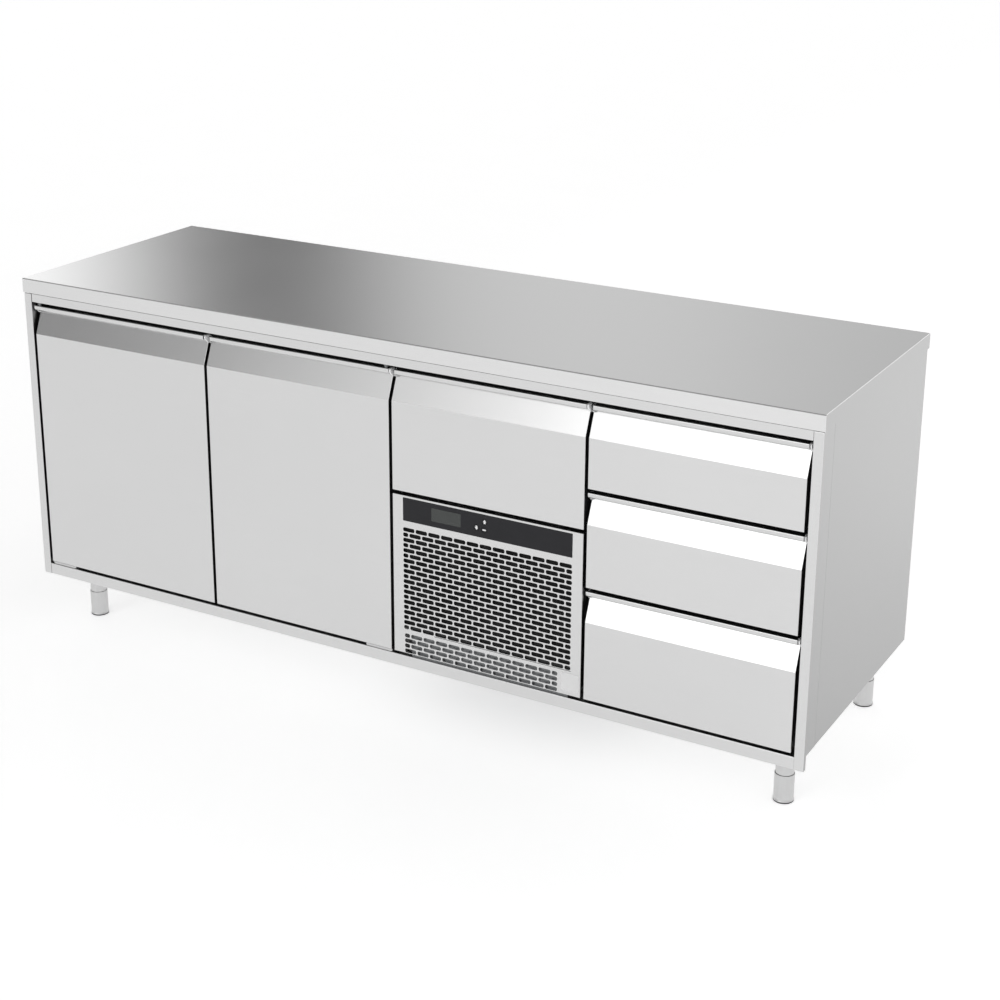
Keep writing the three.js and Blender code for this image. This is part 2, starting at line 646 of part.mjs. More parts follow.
// ---- legs and cable inlet -----------------------------------------------------------------------------
function makeLegs() {
  const spots = {
    front_left: [-1, -1],
    front_right: [1, -1],
    rear_left: [-1, 1],
    rear_right: [1, 1],
  };
  for (const [name, [sideX, sideY]] of Object.entries(spots)) {
    const x = sideX * (WIDTH / 2 - LEG.insetX);
    const y = sideY < 0 ? -DEPTH / 2 + LEG.insetFront : DEPTH / 2 - LEG.insetRear;
    const top = BODY_BOTTOM - FIT;
    const plateFront = LEG.plate / 2;
    const plateBack = Math.min(LEG.plate / 2, BACK_Y - y);
    const plateZ = [top - LEG.plateThickness, top];
    const plate = box([-LEG.plate / 2, LEG.plate / 2], [-plateFront, plateBack], plateZ);
    const stem = cylinder("z", LEG.radius, FOOT.socket + FIT, top - 1, [0, 0]);
    add("leg_" + name, join(plate, stem), materials.stainless, [x, y, 0]);
    const profile = [
      [0, 0],
      [FOOT.baseRadius, 0],
      [FOOT.baseRadius, FOOT.baseHeight],
      [FOOT.radius, FOOT.baseHeight + 3],
      [FOOT.radius, FOOT.height],
      [LEG.radius + FIT, FOOT.height],
      [LEG.radius + FIT, FOOT.socket],
      [0, FOOT.socket],
    ];
    add("foot_" + name, turned(profile), materials.stainless, [x, y, 0]);
  }
}

function makeGland() {
  const profile = [
    [GLAND.bore, 0],
    [GLAND.flangeRadius, 0],
    [GLAND.flangeRadius, GLAND.flange],
    [GLAND.radius, GLAND.flange],
    [GLAND.radius, WALL - 4],
    [GLAND.bore, WALL - 4],
    [GLAND.bore, 0],
  ];
  const ring = turned(profile).rotateX(Math.PI / 2);
  add("cable_gland", ring, materials.rubber, [GLAND.x, BACK_Y + FIT + GLAND.flange, GLAND.z]);
}

makeWorktop();
makeFrontFrame();
makeBody();
makeDoor("left_door", 0, -1);
makeDoor("right_door", 1, 1);
makeDrawers();
makeShelves();
makeTray();
makeGrillePanel();
makeControls();
makeCompressor();
makeCondenser();
makeEvaporator();
makeLegs();
makeGland();

export default cabinet;
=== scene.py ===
"""Looks of the refrigerated counter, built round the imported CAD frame.

Sizes and places are in millimetres in the row frame (+X along the worktop, fronts facing -Y,
+Z up); each mesh is scaled to metres when it becomes an object.
"""
import math
from itertools import product

import bmesh
import bpy
from mathutils import Matrix, Vector
from mathutils.geometry import delaunay_2d_cdt


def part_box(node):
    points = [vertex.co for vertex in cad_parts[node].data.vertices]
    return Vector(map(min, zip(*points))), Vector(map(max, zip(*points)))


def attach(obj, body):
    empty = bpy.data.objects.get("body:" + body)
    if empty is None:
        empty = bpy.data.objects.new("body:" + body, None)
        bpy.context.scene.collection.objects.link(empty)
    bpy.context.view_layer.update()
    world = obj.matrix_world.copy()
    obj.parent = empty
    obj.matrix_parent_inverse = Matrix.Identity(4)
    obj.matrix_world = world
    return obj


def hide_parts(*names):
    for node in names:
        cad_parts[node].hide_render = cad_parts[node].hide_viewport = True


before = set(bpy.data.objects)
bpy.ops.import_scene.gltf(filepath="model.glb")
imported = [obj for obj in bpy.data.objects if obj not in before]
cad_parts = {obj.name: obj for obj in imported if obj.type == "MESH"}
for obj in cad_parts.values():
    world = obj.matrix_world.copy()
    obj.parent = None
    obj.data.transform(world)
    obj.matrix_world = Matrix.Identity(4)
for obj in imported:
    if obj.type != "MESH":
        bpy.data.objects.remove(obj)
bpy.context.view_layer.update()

MM = 0.001
CABINET = "cabinet"
DOORS = ("left_door", "right_door")
DRAWERS = ("bottom_drawer", "middle_drawer", "top_drawer", "machine_drawer")


def node_box(node):
    """Lowest and highest corner of a CAD node, in millimetres."""
    low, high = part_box(node)
    return low / MM, high / MM


def middle_of(node):
    low, high = node_box(node)
    return (low + high) / 2


# ---- sizes ----
REAR_LOW, REAR_HIGH = node_box("rear_panel")
FASCIA_LOW, FASCIA_HIGH = node_box("control_fascia")
DISPLAY_LOW, DISPLAY_HIGH = node_box("display_window")
FRONT_Y = node_box("left_post")[0].y
SEAL_Y = node_box("left_post")[1].y + 0.3
FRONT_BACK_Y = node_box("left_door_panel")[1].y
INNER_X = node_box("right_side_panel")[0].x
INNER_BACK_Y = REAR_LOW.y
BODY_BOTTOM = REAR_LOW.z
FLOOR_Z = node_box("left_floor_panel")[1].z
CEILING_Z = node_box("ceiling_panel")[0].z


# ---- mesh tools ----
def arc(cx, cy, radius, start, end, steps):
    """Points of an arc, angles in degrees."""
    angles = [math.radians(start + (end - start) * i / steps) for i in range(steps + 1)]
    return [(cx + radius * math.cos(a), cy + radius * math.sin(a)) for a in angles]


def circle(radius, sides, start=0):
    return arc(0, 0, radius, start, start + 360, sides)[:-1]


def moved(section, u, v, flip=1):
    """A section carried to (u, v), mirrored along its first direction when flip is -1."""
    return [(u + flip * a, v + b) for a, b in section]


def spaced(start, end, count):
    """Evenly spaced places, both ends included."""
    return [start + (end - start) * i / (count - 1) for i in range(count)]


def rounded_rectangle(x0, x1, z0, z1, radius, steps=5):
    """Outline of a rectangle with round corners, counter-clockwise."""
    corners = ((x1 - radius, z1 - radius, 0), (x0 + radius, z1 - radius, 90),
               (x0 + radius, z0 + radius, 180), (x1 - radius, z0 + radius, 270))
    return [point for x, z, turn in corners for point in arc(x, z, radius, turn, turn + 90, steps)]


def front_outline(low, high, inset, radius, steps):
    """Rounded rectangle in (x, z) of a box seen from the front, moved inwards by inset."""
    return rounded_rectangle(low.x + inset, high.x - inset, low.z + inset, high.z - inset, radius, steps)


def offset_path(path, distance):
    """An open path moved to its right-hand side, with mitred corners."""
    normals = []
    for (u0, v0), (u1, v1) in zip(path, path[1:]):
        length = math.hypot(u1 - u0, v1 - v0)
        normals.append(((v1 - v0) / length, (u0 - u1) / length))
    beside_path = []
    for i, (u, v) in enumerate(path):
        beside = normals[max(i - 1, 0):i + 1]
        nu, nv = (sum(part) / len(beside) for part in zip(*beside))
        reach = distance / max(nu * nu + nv * nv, 0.3)
        beside_path.append((u + nu * reach, v + nv * reach))
    return beside_path


def rounded_path(points, radius, steps=6, closed=False):
    """A 3-D polyline with its corners turned into arcs."""
    points = [Vector(p) for p in points]
    path = []
    for i, corner in enumerate(points):
        if not closed and i in (0, len(points) - 1):
            path.append(corner)
            continue
        before = (points[i - 1] - corner).normalized()
        after = (points[(i + 1) % len(points)] - corner).normalized()
        half = before.angle(after) / 2
        reach = radius / math.tan(half)
        centre = corner + (before + after).normalized() * (radius / math.sin(half))
        start = corner + before * reach - centre
        end = corner + after * reach - centre
        path += [centre + start.slerp(end, step / steps, start) for step in range(steps + 1)]
    return path


def bevel(part, edges, radius, segments):
    bmesh.ops.bevel(part, geom=edges, offset=radius, segments=segments, profile=0.5,
                    affect="EDGES", clamp_overlap=True)


# Turn in degrees, and the axis to turn about, that takes +Z to each direction.
TURNS = {"Z": (0, "X"), "X": (90, "Y"), "Y": (-90, "X"), "-X": (-90, "Y"), "-Y": (90, "X"), "-Z": (180, "X")}


class Shape:
    """Collects solids in millimetres; build() turns them into one object."""

    def __init__(self):
        self.mesh = bmesh.new()

    def take(self, part, material=0):
        for face in part.faces:
            face.material_index = material
        scratch = bpy.data.meshes.new("scratch")
        part.to_mesh(scratch)
        part.free()
        self.mesh.from_mesh(scratch)
        bpy.data.meshes.remove(scratch)
        return self

    def shell(self, rings, material=0, closed=False, shift=0, radius=0, segments=2):
        """Faces between neighbouring rings of points. A closed shell joins its last ring to the first,
        turned by shift points; an open one is capped at both ends, with rims rounded by radius."""
        part = bmesh.new()
        loops = [[part.verts.new(point) for point in ring] for ring in rings]
        if closed:
            loops.append(loops[0][shift:] + loops[0][:shift])
            caps = []
        else:
            caps = [part.faces.new(loop) for loop in (loops[0], loops[-1]) if len(loop) > 1]
        for lower, upper in zip(loops, loops[1:]):
            count = max(len(lower), len(upper))
            for k in range(count):
                m = (k + 1) % count
                corners = (lower[k % len(lower)], lower[m % len(lower)],
                           upper[m % len(upper)], upper[k % len(upper)])
                part.faces.new(list(dict.fromkeys(corners)))
        bmesh.ops.recalc_face_normals(part, faces=part.faces)
        if radius:
            bevel(part, [edge for cap in caps for edge in cap.edges], radius, segments)
        return self.take(part, material)

    def box(self, low, high, radius=0.8, segments=2, material=0):
        """A box with rounded edges."""
        low, high = Vector(low), Vector(high)
        size = high - low
        part = bmesh.new()
        bmesh.ops.create_cube(part, size=1)
        bmesh.ops.scale(part, vec=size, verts=part.verts)
        if radius:
            bevel(part, part.edges[:], min(radius, min(size) * 0.45), segments)
        bmesh.ops.translate(part, vec=(low + high) / 2, verts=part.verts)
        return self.take(part, material)

    def prism(self, outline, axis, start, end, radius=0, segments=2, material=0):
        """An outline drawn along an axis; the two end rims are rounded by radius.

        The outline is in (y, z) for axis X, (x, z) for axis Y and (x, y) for axis Z."""
        k = "XYZ".index(axis)
        rings = [[(*point[:k], along, *point[k:]) for point in outline] for along in (start, end)]
        return self.shell(rings, material, radius=radius, segments=segments)

    def lathe(self, profile, centre, axis="Z", sides=32, material=0):
        """Turns (radius, height) points about an axis; a profile that ends where it starts is a ring."""
        degrees, about = TURNS[axis]
        turn = Matrix.Translation(centre) @ Matrix.Rotation(math.radians(degrees), 4, about)
        closed = profile[0] == profile[-1]
        rings = []
        for radius, height in profile[:-1] if closed else profile:
            flat = circle(radius, sides) if radius else [(0, 0)]
            rings.append([turn @ Vector((x, y, height)) for x, y in flat])
        return self.shell(rings, material, closed)

    def tube(self, path, radius, sides=10, closed=False, material=0):
        """A round rod along a path of points."""
        path = [Vector(p) for p in path]
        rings = []
        up = None
        for i, point in enumerate(path):
            before = path[i - 1] if closed or i else point
            after = path[(i + 1) % len(path)] if closed or i < len(path) - 1 else point
            along = (after - before).normalized()
            if up is None:
                up = along.orthogonal()
            up = (up - along * up.dot(along)).normalized()
            side = along.cross(up)
            rings.append([point + up * u + side * v for u, v in circle(radius, sides)])
        twist = min(range(sides), key=lambda k: (rings[0][k] - rings[-1][0]).length)
        return self.shell(rings, material, closed, twist)

    def ring(self, section, low, high, y, inset=0):
        """A section swept round an upright rectangle with mitred corners.

        Section points are (inwards from the rectangle, depth along +Y)."""
        x0, x1, z0, z1 = low.x + inset, high.x - inset, low.z + inset, high.z - inset
        corners = ((x0, z0, 1, 1), (x1, z0, -1, 1), (x1, z1, -1, -1), (x0, z1, 1, -1))
        rings = [[(x + sx * u, y + v, z + sz * u) for u, v in section] for x, z, sx, sz in corners]
        return self.shell(rings, closed=True)

    def plate(self, outline, holes, y_front, y_back):
        """A flat sheet in the XZ plane with holes through it."""
        part = bmesh.new()
        coords, loops = [], []
        for loop in [outline] + holes:
            loops.append(list(range(len(coords), len(coords) + len(loop))))
            coords += [Vector(point) for point in loop]
        points, _, triangles, _, _, owners = delaunay_2d_cdt(coords, [], loops, 1, 1e-5)
        front, back = ([part.verts.new((p.x, y, p.y)) for p in points] for y in (y_front, y_back))
        for triangle, owner in zip(triangles, owners):
            if owner == [0]:  # inside the outline and in no hole
                part.faces.new([front[i] for i in triangle])
                part.faces.new([back[i] for i in triangle])
        for loop in loops:
            for a, b in zip(loop, loop[1:] + loop[:1]):
                part.faces.new((front[a], front[b], back[b], back[a]))
        bmesh.ops.recalc_face_normals(part, faces=part.faces)
        return self.take(part)

    def paint_ends(self, material):
        """Gives the faces that look along X another material; the callers pass the darker side steel, painted
        shade on these ends.
        """
        self.mesh.normal_update()
        for face in self.mesh.faces:
            if abs(face.normal.x) > 0.9:
                face.material_index = material

    def screws(self, places, axis="-Y", radius=3.6):
        """Domed screw heads with a small socket, standing on a face."""
        profile = [(radius, -0.4), (radius, 0.5), (radius * 0.85, 1.1), (radius * 0.5, 1.5),
                   (radius * 0.36, 1.5), (radius * 0.3, 0.6), (0, 0.5)]
        for place in places:
            self.lathe(profile, place, axis, 18)


def add_box_uv(mesh):
    """UVs in metres by box projection: U is always the horizontal direction of a wall."""
    layer = mesh.uv_layers.new(name="grain")
    for polygon in mesh.polygons:
        across, deep, up = (abs(c) for c in polygon.normal)
        for loop in polygon.loop_indices:
            x, y, z = mesh.vertices[mesh.loops[loop].vertex_index].co
            if up >= across and up >= deep:
                layer.data[loop].uv = (x, y)
            else:
                layer.data[loop].uv = (x, z) if deep >= across else (y, z)


def link_object(name, data):
    item = bpy.data.objects.new(name, data)
    bpy.context.scene.collection.objects.link(item)
    return item


def build(name, shape, slot, materials, *replaces, body=CABINET, sharp=20):
    """Turns a shape into an object that rides on a body and stands for the CAD nodes in replaces."""
    mesh = bpy.data.meshes.new(name)
    bmesh.ops.scale(shape.mesh, vec=(MM, MM, MM), verts=shape.mesh.verts)
    shape.mesh.to_mesh(mesh)
    shape.mesh.free()
    for material in materials:
        mesh.materials.append(material)
    mesh.shade_smooth()
    mesh.set_sharp_from_angle(angle=math.radians(sharp))
    add_box_uv(mesh)
    item = link_object(name, mesh)
    item.modifiers.new("weighted_normals", "WEIGHTED_NORMAL").keep_sharp = True
    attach(item, body)
    if replaces:
        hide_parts(*replaces)


# ---- materials ----
def feed(node, inputs):
    """Sets inputs of a node: each value is a number, a colour or the output of another node."""
    for socket, value in inputs.items():
        if isinstance(value, bpy.types.NodeSocket):
            node.id_data.links.new(value, node.inputs[socket])
        else:
            node.inputs[socket].default_value = value


def add(tree, kind, inputs=None, **settings):
    """Adds a shader node and returns its outputs."""
    node = tree.nodes.new("ShaderNode" + kind)
    for name, value in settings.items():
        setattr(node, name, value)
    feed(node, inputs or {})
    return node.outputs


def math_node(tree, operation, *values):
    return add(tree, "Math", dict(enumerate(values)), operation=operation)["Value"]


def map_range(tree, value, start, end, low, high, curve="LINEAR"):
    """Maps start..end of a value onto low..high."""
    sockets = {"Value": value, "From Min": start, "From Max": end, "To Min": low, "To Max": high}
    return add(tree, "MapRange", sockets, interpolation_type=curve)["Result"]


def spread(tree, value, low, high):
    """Maps the middle half of a noise, where most of it lies, onto low..high."""
    return map_range(tree, value, 0.25, 0.75, low, high)


def noise(tree, scale, stretch=(1, 1, 1), detail=2):
    """Noise in object space, stretched by a factor along each axis. Scale is per metre."""
    place = add(tree, "TexCoord")["Object"]
    place = add(tree, "Mapping", {"Vector": place, "Scale": stretch})["Vector"]
    look = {"Vector": place, "Scale": scale, "Detail": detail, "Roughness": 0.55}
    return add(tree, "TexNoise", look)["Fac"]


def tint(tree, value, dark, light):
    """Mixes two colours by a noise."""
    ends = {"A": (*dark, 1), "B": (*light, 1), "Factor": spread(tree, value, 0, 1)}
    return add(tree, "Mix", ends, data_type="RGBA")["Result"]


def bump(tree, value, strength, distance):
    return add(tree, "Bump", {"Height": value, "Strength": strength, "Distance": distance})["Normal"]


def new_material(name):
    material = bpy.data.materials.new(name)
    material.use_nodes = True
    return material, material.node_tree, material.node_tree.nodes["Principled BSDF"]


# Noise scale per axis: small along the brush, large across it.
GRAIN_STRETCH = {"X": (0.02, 1, 1), "Y": (1, 0.02, 1), "Z": (1, 1, 0.02)}


def brushed_steel(name, level, roughness, along, anisotropy=0.2, blur_turn=0):
    """Brushed stainless steel: streaks along one axis in colour, gloss and relief, with faint
    large-scale unevenness like handled sheet."""
    material, tree, shader = new_material(name)
    streaks = noise(tree, 900, GRAIN_STRETCH[along], detail=4)
    clouds = math_node(tree, "MULTIPLY", noise(tree, 2.4), 0.3)
    mottle = math_node(tree, "MULTIPLY_ADD", streaks, 0.7, clouds)
    feed(shader, {
        "Base Color": tint(tree, mottle, [level * 0.965] * 3, [level * 1.035] * 3),
        "Roughness": spread(tree, mottle, roughness * 0.88, roughness * 1.12),
        "Metallic": 1,
        "Anisotropic": anisotropy,
        "Anisotropic Rotation": blur_turn,
        "Tangent": add(tree, "Tangent", direction_type="UV_MAP", uv_map="grain")["Tangent"],
        "Normal": bump(tree, streaks, 0.04, 0.0002),
    })
    return material


def plain_surface(name, dark, light, roughness, metallic=0, grain=60, relief=0.15, coat=0,
                  specular=0.5):
    """Cast, moulded, painted or plated surface: mottled colour, uneven gloss and fine relief."""
    material, tree, shader = new_material(name)
    mottle = noise(tree, grain, detail=4)
    feed(shader, {
        "Base Color": tint(tree, mottle, dark, light),
        "Roughness": spread(tree, mottle, roughness * 0.85, roughness * 1.15),
        "Metallic": metallic,
        "Specular IOR Level": specular,
        "Coat Weight": coat,
        "Normal": bump(tree, noise(tree, grain * 14), relief, 0.0004),
    })
    return material


worktop_steel = brushed_steel("worktop_steel", 0.70, 0.22, "X", anisotropy=0.55, blur_turn=0.25)
front_steel = brushed_steel("front_steel", 0.650, 0.20, "X", anisotropy=0.3, blur_turn=0.25)
# A darker copy of the front stainless for the side panels, end faces and rear: painted shade.
shaded_side_steel = brushed_steel("shaded_side_steel", 0.370, 0.34, "Z", anisotropy=0.4, blur_turn=0.25)
# Far brighter steel for the worktop's end chamfers: a painted highlight line.
painted_highlight_steel = brushed_steel("painted_highlight_steel", 0.93, 0.14, "Y", anisotropy=0.1)
leg_steel = brushed_steel("leg_steel", 0.585, 0.30, "Z")
liner_steel = brushed_steel("liner_steel", 0.62, 0.36, "X", anisotropy=0.3)
fin_metal = brushed_steel("fin_metal", 0.60, 0.40, "Z")
# A darker copy of the zinc below; on the upper hinge plates it is painted shade.
tray_zinc = plain_surface("tray_zinc", (0.17, 0.175, 0.18), (0.25, 0.255, 0.26), 0.5, 1, grain=45)
zinc = plain_surface("zinc", (0.33, 0.34, 0.35), (0.47, 0.48, 0.49), 0.42, 1, grain=45)
copper = plain_surface("copper", (0.58, 0.27, 0.15), (0.80, 0.42, 0.27), 0.32, 1, grain=30)
edge_plastic = plain_surface("edge_plastic", (0.004, 0.004, 0.0045), (0.008, 0.008, 0.009), 0.62)
cap_grey = plain_surface("cap_grey", (0.80, 0.80, 0.805), (0.86, 0.86, 0.865), 0.38, grain=90, relief=0.08)
# Near-black filter cloth: partly its own colour, partly painted shade of the machine bay behind the slots.
filter_cloth_and_shade = plain_surface("filter_cloth_and_shade", (0.003, 0.003, 0.003), (0.030, 0.030, 0.031), 0.7,
                             grain=16, relief=0.4)
nylon = plain_surface("nylon", (0.62, 0.62, 0.60), (0.70, 0.70, 0.68), 0.45, grain=150)
seal_rubber = plain_surface("seal_rubber", (0.018, 0.018, 0.019), (0.030, 0.030, 0.032), 0.58)
fascia_film = plain_surface("fascia_film", (0.010, 0.010, 0.012), (0.013, 0.013, 0.016), 0.36,
                            grain=25, relief=0.05, specular=0.25)
smoked_window = plain_surface("smoked_window", (0.022, 0.026, 0.024), (0.028, 0.032, 0.030), 0.20,
                              grain=12, relief=0.02, coat=0.2)
key_white = plain_surface("key_white", (0.72, 0.72, 0.72), (0.82, 0.82, 0.82), 0.42, grain=120)
fan_plastic = plain_surface("fan_plastic", (0.012, 0.012, 0.013), (0.022, 0.022, 0.023), 0.48)
enamel = plain_surface("enamel", (0.010, 0.010, 0.011), (0.019, 0.019, 0.021), 0.28, grain=25,
                       relief=0.08, coat=0.3)
coated_wire = plain_surface("coated_wire", (0.66, 0.67, 0.68), (0.76, 0.77, 0.78), 0.36, grain=80)
blank_label = plain_surface("blank_label", (0.66, 0.66, 0.66), (0.72, 0.72, 0.72), 0.45, grain=20,
                            relief=0.03)


# ---- worktop, frame and outer panels ----
def make_worktop():
    """Folded slab: the long top edges are small chamfers, the lower edges a hem."""
    low, high = node_box("worktop")
    foot = high.z - 1.9  # of the chamfer
    edge = [(0.8, low.z), (0.2, low.z + 0.3), (0, low.z + 0.9), (0, foot - 0.2), (0.1, foot),
            (1.9, high.z - 0.1), (2.1, high.z)]  # depth, z
    outline = [(low.y + depth, z) for depth, z in edge] + [(high.y - depth, z) for depth, z in edge[::-1]]
    shape = Shape().prism(outline, "X", low.x, high.x, radius=2.2, segments=1)
    # End faces take the darker side steel, painted shade; the chamfers at the ends take the bright steel, a
    # painted highlight.
    shape.paint_ends(1)
    for face in shape.mesh.faces:
        if face.normal.z > 0.5 and abs(face.normal.x) > 0.5:
            face.material_index = 2
    build("worktop_sheet", shape, "worktop_steel", [worktop_steel, shaded_side_steel, painted_highlight_steel], "worktop")


RAIL_SEAM = 0.5  # open joint at the ends of the top rail, beyond the gap of the CAD
TOP_SEAM = 1.1  # open joint between the worktop's hem and the frame


def make_frame():
    """Front posts and rails: deep over the body's underside, with a thin skirt below it."""
    skirt, r = 12, 1.2
    for name in ("left_post", "right_post", "bottom_rail"):
        low, high = node_box(name)
        is_post = name != "bottom_rail"
        top = high.z - (TOP_SEAM if is_post else 0)
        step = BODY_BOTTOM - 0.3 if is_post else high.z - skirt
        outline = (
            arc(low.y + r, low.z + r, r, 180, 270, 5) + arc(low.y + skirt - r, low.z + r, r, 270, 360, 5)
            + [(low.y + skirt, step), (high.y, step)]
            + arc(high.y - r, top - r, r, 0, 90, 5) + arc(low.y + r, top - r, r, 90, 180, 5)
        )
        shape = Shape().prism(outline, "X", low.x, high.x, radius=0.6 if is_post else 0.25, segments=4)
        # The end faces take the darker side steel: painted shade.
        shape.paint_ends(1)
        build(name + "_sheet", shape, "brushed_stainless", [front_steel, shaded_side_steel], name)
    low, high = node_box("top_rail")
    shape = Shape().box(low + Vector((RAIL_SEAM, 0, 0)), high - Vector((RAIL_SEAM, 0, TOP_SEAM)), 0.9, 4)
    build("top_rail_sheet", shape, "brushed_stainless", [front_steel], "top_rail")


LEDGE_WIDTH = 12
LEDGE_SECTION = [(-1, 0), (LEDGE_WIDTH - 0.8, 0), (LEDGE_WIDTH, -0.8), (LEDGE_WIDTH, -4), (-1, -12)]
LEDGE_ENDS = (SEAL_Y + 12, INNER_BACK_Y - 12)
SHELF_TOP = node_box("shelf_centre_rail")[1].z


def make_side_panels():
    for side in ("left", "right"):
        low, high = node_box(side + "_side_panel")
        shape = Shape()
        if side == "left":
            high.x = -INNER_X
            ledge = [(-1, 0), (LEDGE_WIDTH, 0), (LEDGE_WIDTH, -4), (-1, -12)]
            shape.prism(moved(ledge, high.x, SHELF_TOP), "Y", *LEDGE_ENDS, radius=0.8)
        shape.box(low, high, radius=1.4, segments=5)
        build(side + "_side_sheet", shape, "brushed_stainless", [shaded_side_steel], side + "_side_panel")


# ---- door and drawer fronts ----
HANDLE_HEIGHT = 71  # from the top of a front to the foot of its slope
HANDLE_SLOPE_TOP = 17
HANDLE_DEPTH = 21.5
LIP_HEIGHT = 13
LIP_ROUND = 1.6
LIP_CURVE = ((6, -LIP_HEIGHT), (4.2, -12.2), (2.6, -10.8), (1.4, -9), (0.6, -7), (0.15, -5))
SKIN = 2.6  # how far the steel front wraps round onto its edges
TOP_RETURN = 7
BOTTOM_RETURN = 4
EDGE_INSET = 2.2  # of the black edge frame inside the steel skin
SEAL_SECTION = [(0.5, 0), (0.5, 1.5), (2.5, 2.4), (1, 3.6), (2.2, 5), (1.2, 6.4), (1.6, 8.2),
                (3.2, 8.9), (15.4, 8.9), (17, 8.2), (17.4, 6.4), (16.4, 5), (17.6, 3.6),
                (16.1, 2.4), (18.6, 1.5), (18.6, 0)]
MITRES = {"right_door": (12, 15), "machine_drawer": (8, 12), "top_drawer": (8, 12)}  # width, depth
CAP_SECTION = ((4.6, -1.4), (3.2, -2.6), (2.9, -5.2), (3.3, -7.4), (4.2, -9.4), (5.8, -11.4), (8.4, -13.6),
               (12, -17.6), (19, -21.4), (22.5, -17), (22.5, -3), (8, -1.4))  # depth, height
CAP_REACH = 5.2  # how far a cap stands out of the right end of a lip
CAP_GROOVES = {"right_door": 0.3, "machine_drawer": 0.3}  # between the sheet and the cap; 1.7 on others


def front_path(bottom, top, rounded=True):
    """Outer face of a front in (depth behind the front plane, z), from its lower to its upper return."""
    r = LIP_ROUND
    slope = [(0, top - HANDLE_HEIGHT), (HANDLE_DEPTH, top - HANDLE_SLOPE_TOP),
             (HANDLE_DEPTH, top - LIP_HEIGHT - 1)]
    if rounded:
        lower_edge = [(BOTTOM_RETURN, bottom)] + arc(1.2, bottom + 1.2, 1.2, 270, 180, 5)
        lip = moved(LIP_CURVE, 0, top) + arc(r, top - r, r, 180, 90, 5)
    else:
        lower_edge = [(BOTTOM_RETURN, bottom), (0, bottom)]
        lip = [(LIP_CURVE[0][0], top - LIP_HEIGHT), (1.4, top - 9), (0, top - 4.5), (0, top)]
    return lower_edge + slope + lip + [(TOP_RETURN, top)]


def mitre_lip(shape, name, low, high):
    """Slants the left end of a lip, so that it clears the lip of the front beside it."""
    width, depth = MITRES.get(name, (0, 1))
    for vertex in shape.mesh.verts:
        if vertex.co.x < low.x + 4 and vertex.co.z > high.z - LIP_HEIGHT - 3:
            vertex.co.x += width * max(0, 1 - (vertex.co.y - FRONT_Y) / depth)


def make_front(name, node, *seal_nodes):
    """Steel front folded into a lip handle, over a black edge frame, with a liner and a seal behind."""
    low, high = node_box(node)
    folds = front_path(low.z, high.z, rounded=False)
    skin = Shape()
    skin.prism(moved(front_path(low.z, high.z) + offset_path(folds, SKIN)[::-1], FRONT_Y, 0), "X",
               low.x, high.x, radius=0.7, segments=4)
    mitre_lip(skin, name, low, high)
    build(name + "_skin", skin, "brushed_stainless", [front_steel], node, body=name)

    inner, behind, back = SKIN - 0.4, HANDLE_DEPTH + SKIN, FRONT_BACK_Y - FRONT_Y
    bottom, top = low.z + EDGE_INSET, high.z - EDGE_INSET
    core = [(inner, bottom), (inner, high.z - HANDLE_HEIGHT), (behind - 0.4, high.z - HANDLE_SLOPE_TOP),
            (behind - 0.4, top), (back, top), (back, bottom)]
    lip_core = [(behind, high.z - 11), (9, high.z - 11), (3, high.z - 5), (3, top), (behind, top)]
    edge_frame = Shape()
    for outline, radius in ((core, 0.8), (lip_core, 0.4)):
        edge_frame.prism(moved(outline, FRONT_Y, 0), "X", low.x + EDGE_INSET, high.x - EDGE_INSET, radius)
    mitre_lip(edge_frame, name, low, high)
    build(name + "_edge_frame", edge_frame, "seal_rubber", [edge_plastic], body=name)

    liner_depth = 3.2 if seal_nodes else 0.2  # thick on doors, whose seals are CAD nodes
    liner = Shape().box((low.x + 26, FRONT_BACK_Y - 1, low.z + 26),
                        (high.x - 26, FRONT_BACK_Y + liner_depth, high.z - 26), 1.9, 5)
    build(name + "_liner", liner, "liner_steel", [liner_steel], body=name)

    seal = Shape().ring(SEAL_SECTION, low, high, FRONT_BACK_Y + 0.3, inset=4)
    build(name + "_seal", seal, "seal_rubber", [seal_rubber], *seal_nodes, body=name, sharp=50)


def make_lip_caps(node):
    """Moulded pieces that close both ends of a lip."""
    name = node.rsplit("_", 1)[0]
    low, high = node_box(node)
    section = moved(CAP_SECTION, FRONT_Y, high.z)
    left = Shape().prism(section, "X", low.x + 0.3, low.x + 2.4, radius=0.35)
    mitre_lip(left, name, low, high)
    groove = high.x + CAP_GROOVES.get(name, 1.7)
    right = Shape().prism(moved(section, 3.5, 0), "X", high.x - 2.4, groove + 1, radius=0.3)
    right.prism(section, "X", groove, high.x + CAP_REACH, radius=0.5, segments=3)
    for vertex in right.mesh.verts:
        depth = vertex.co.y - FRONT_Y
        if vertex.co.x > groove + 2:
            vertex.co.x -= 0.9 * max(0, 1 - (depth - 2.9) / 2) + 2.4 * max(0, (depth - 9) / 13)
    right.take(left.mesh)
    build(name + "_lip_caps", right, "key_plastic", [cap_grey], body=name)


# ---- machine cover and controls ----
SHEET = 1.2  # thickness of the cover and the rear panel
SLOT_PITCH_X = 32.4
SLOT_PITCH_Z = 12.4
SLOT_LENGTH = 29.3
SLOT_HEIGHT = 9.5
SLOT_CORNER = 3.8


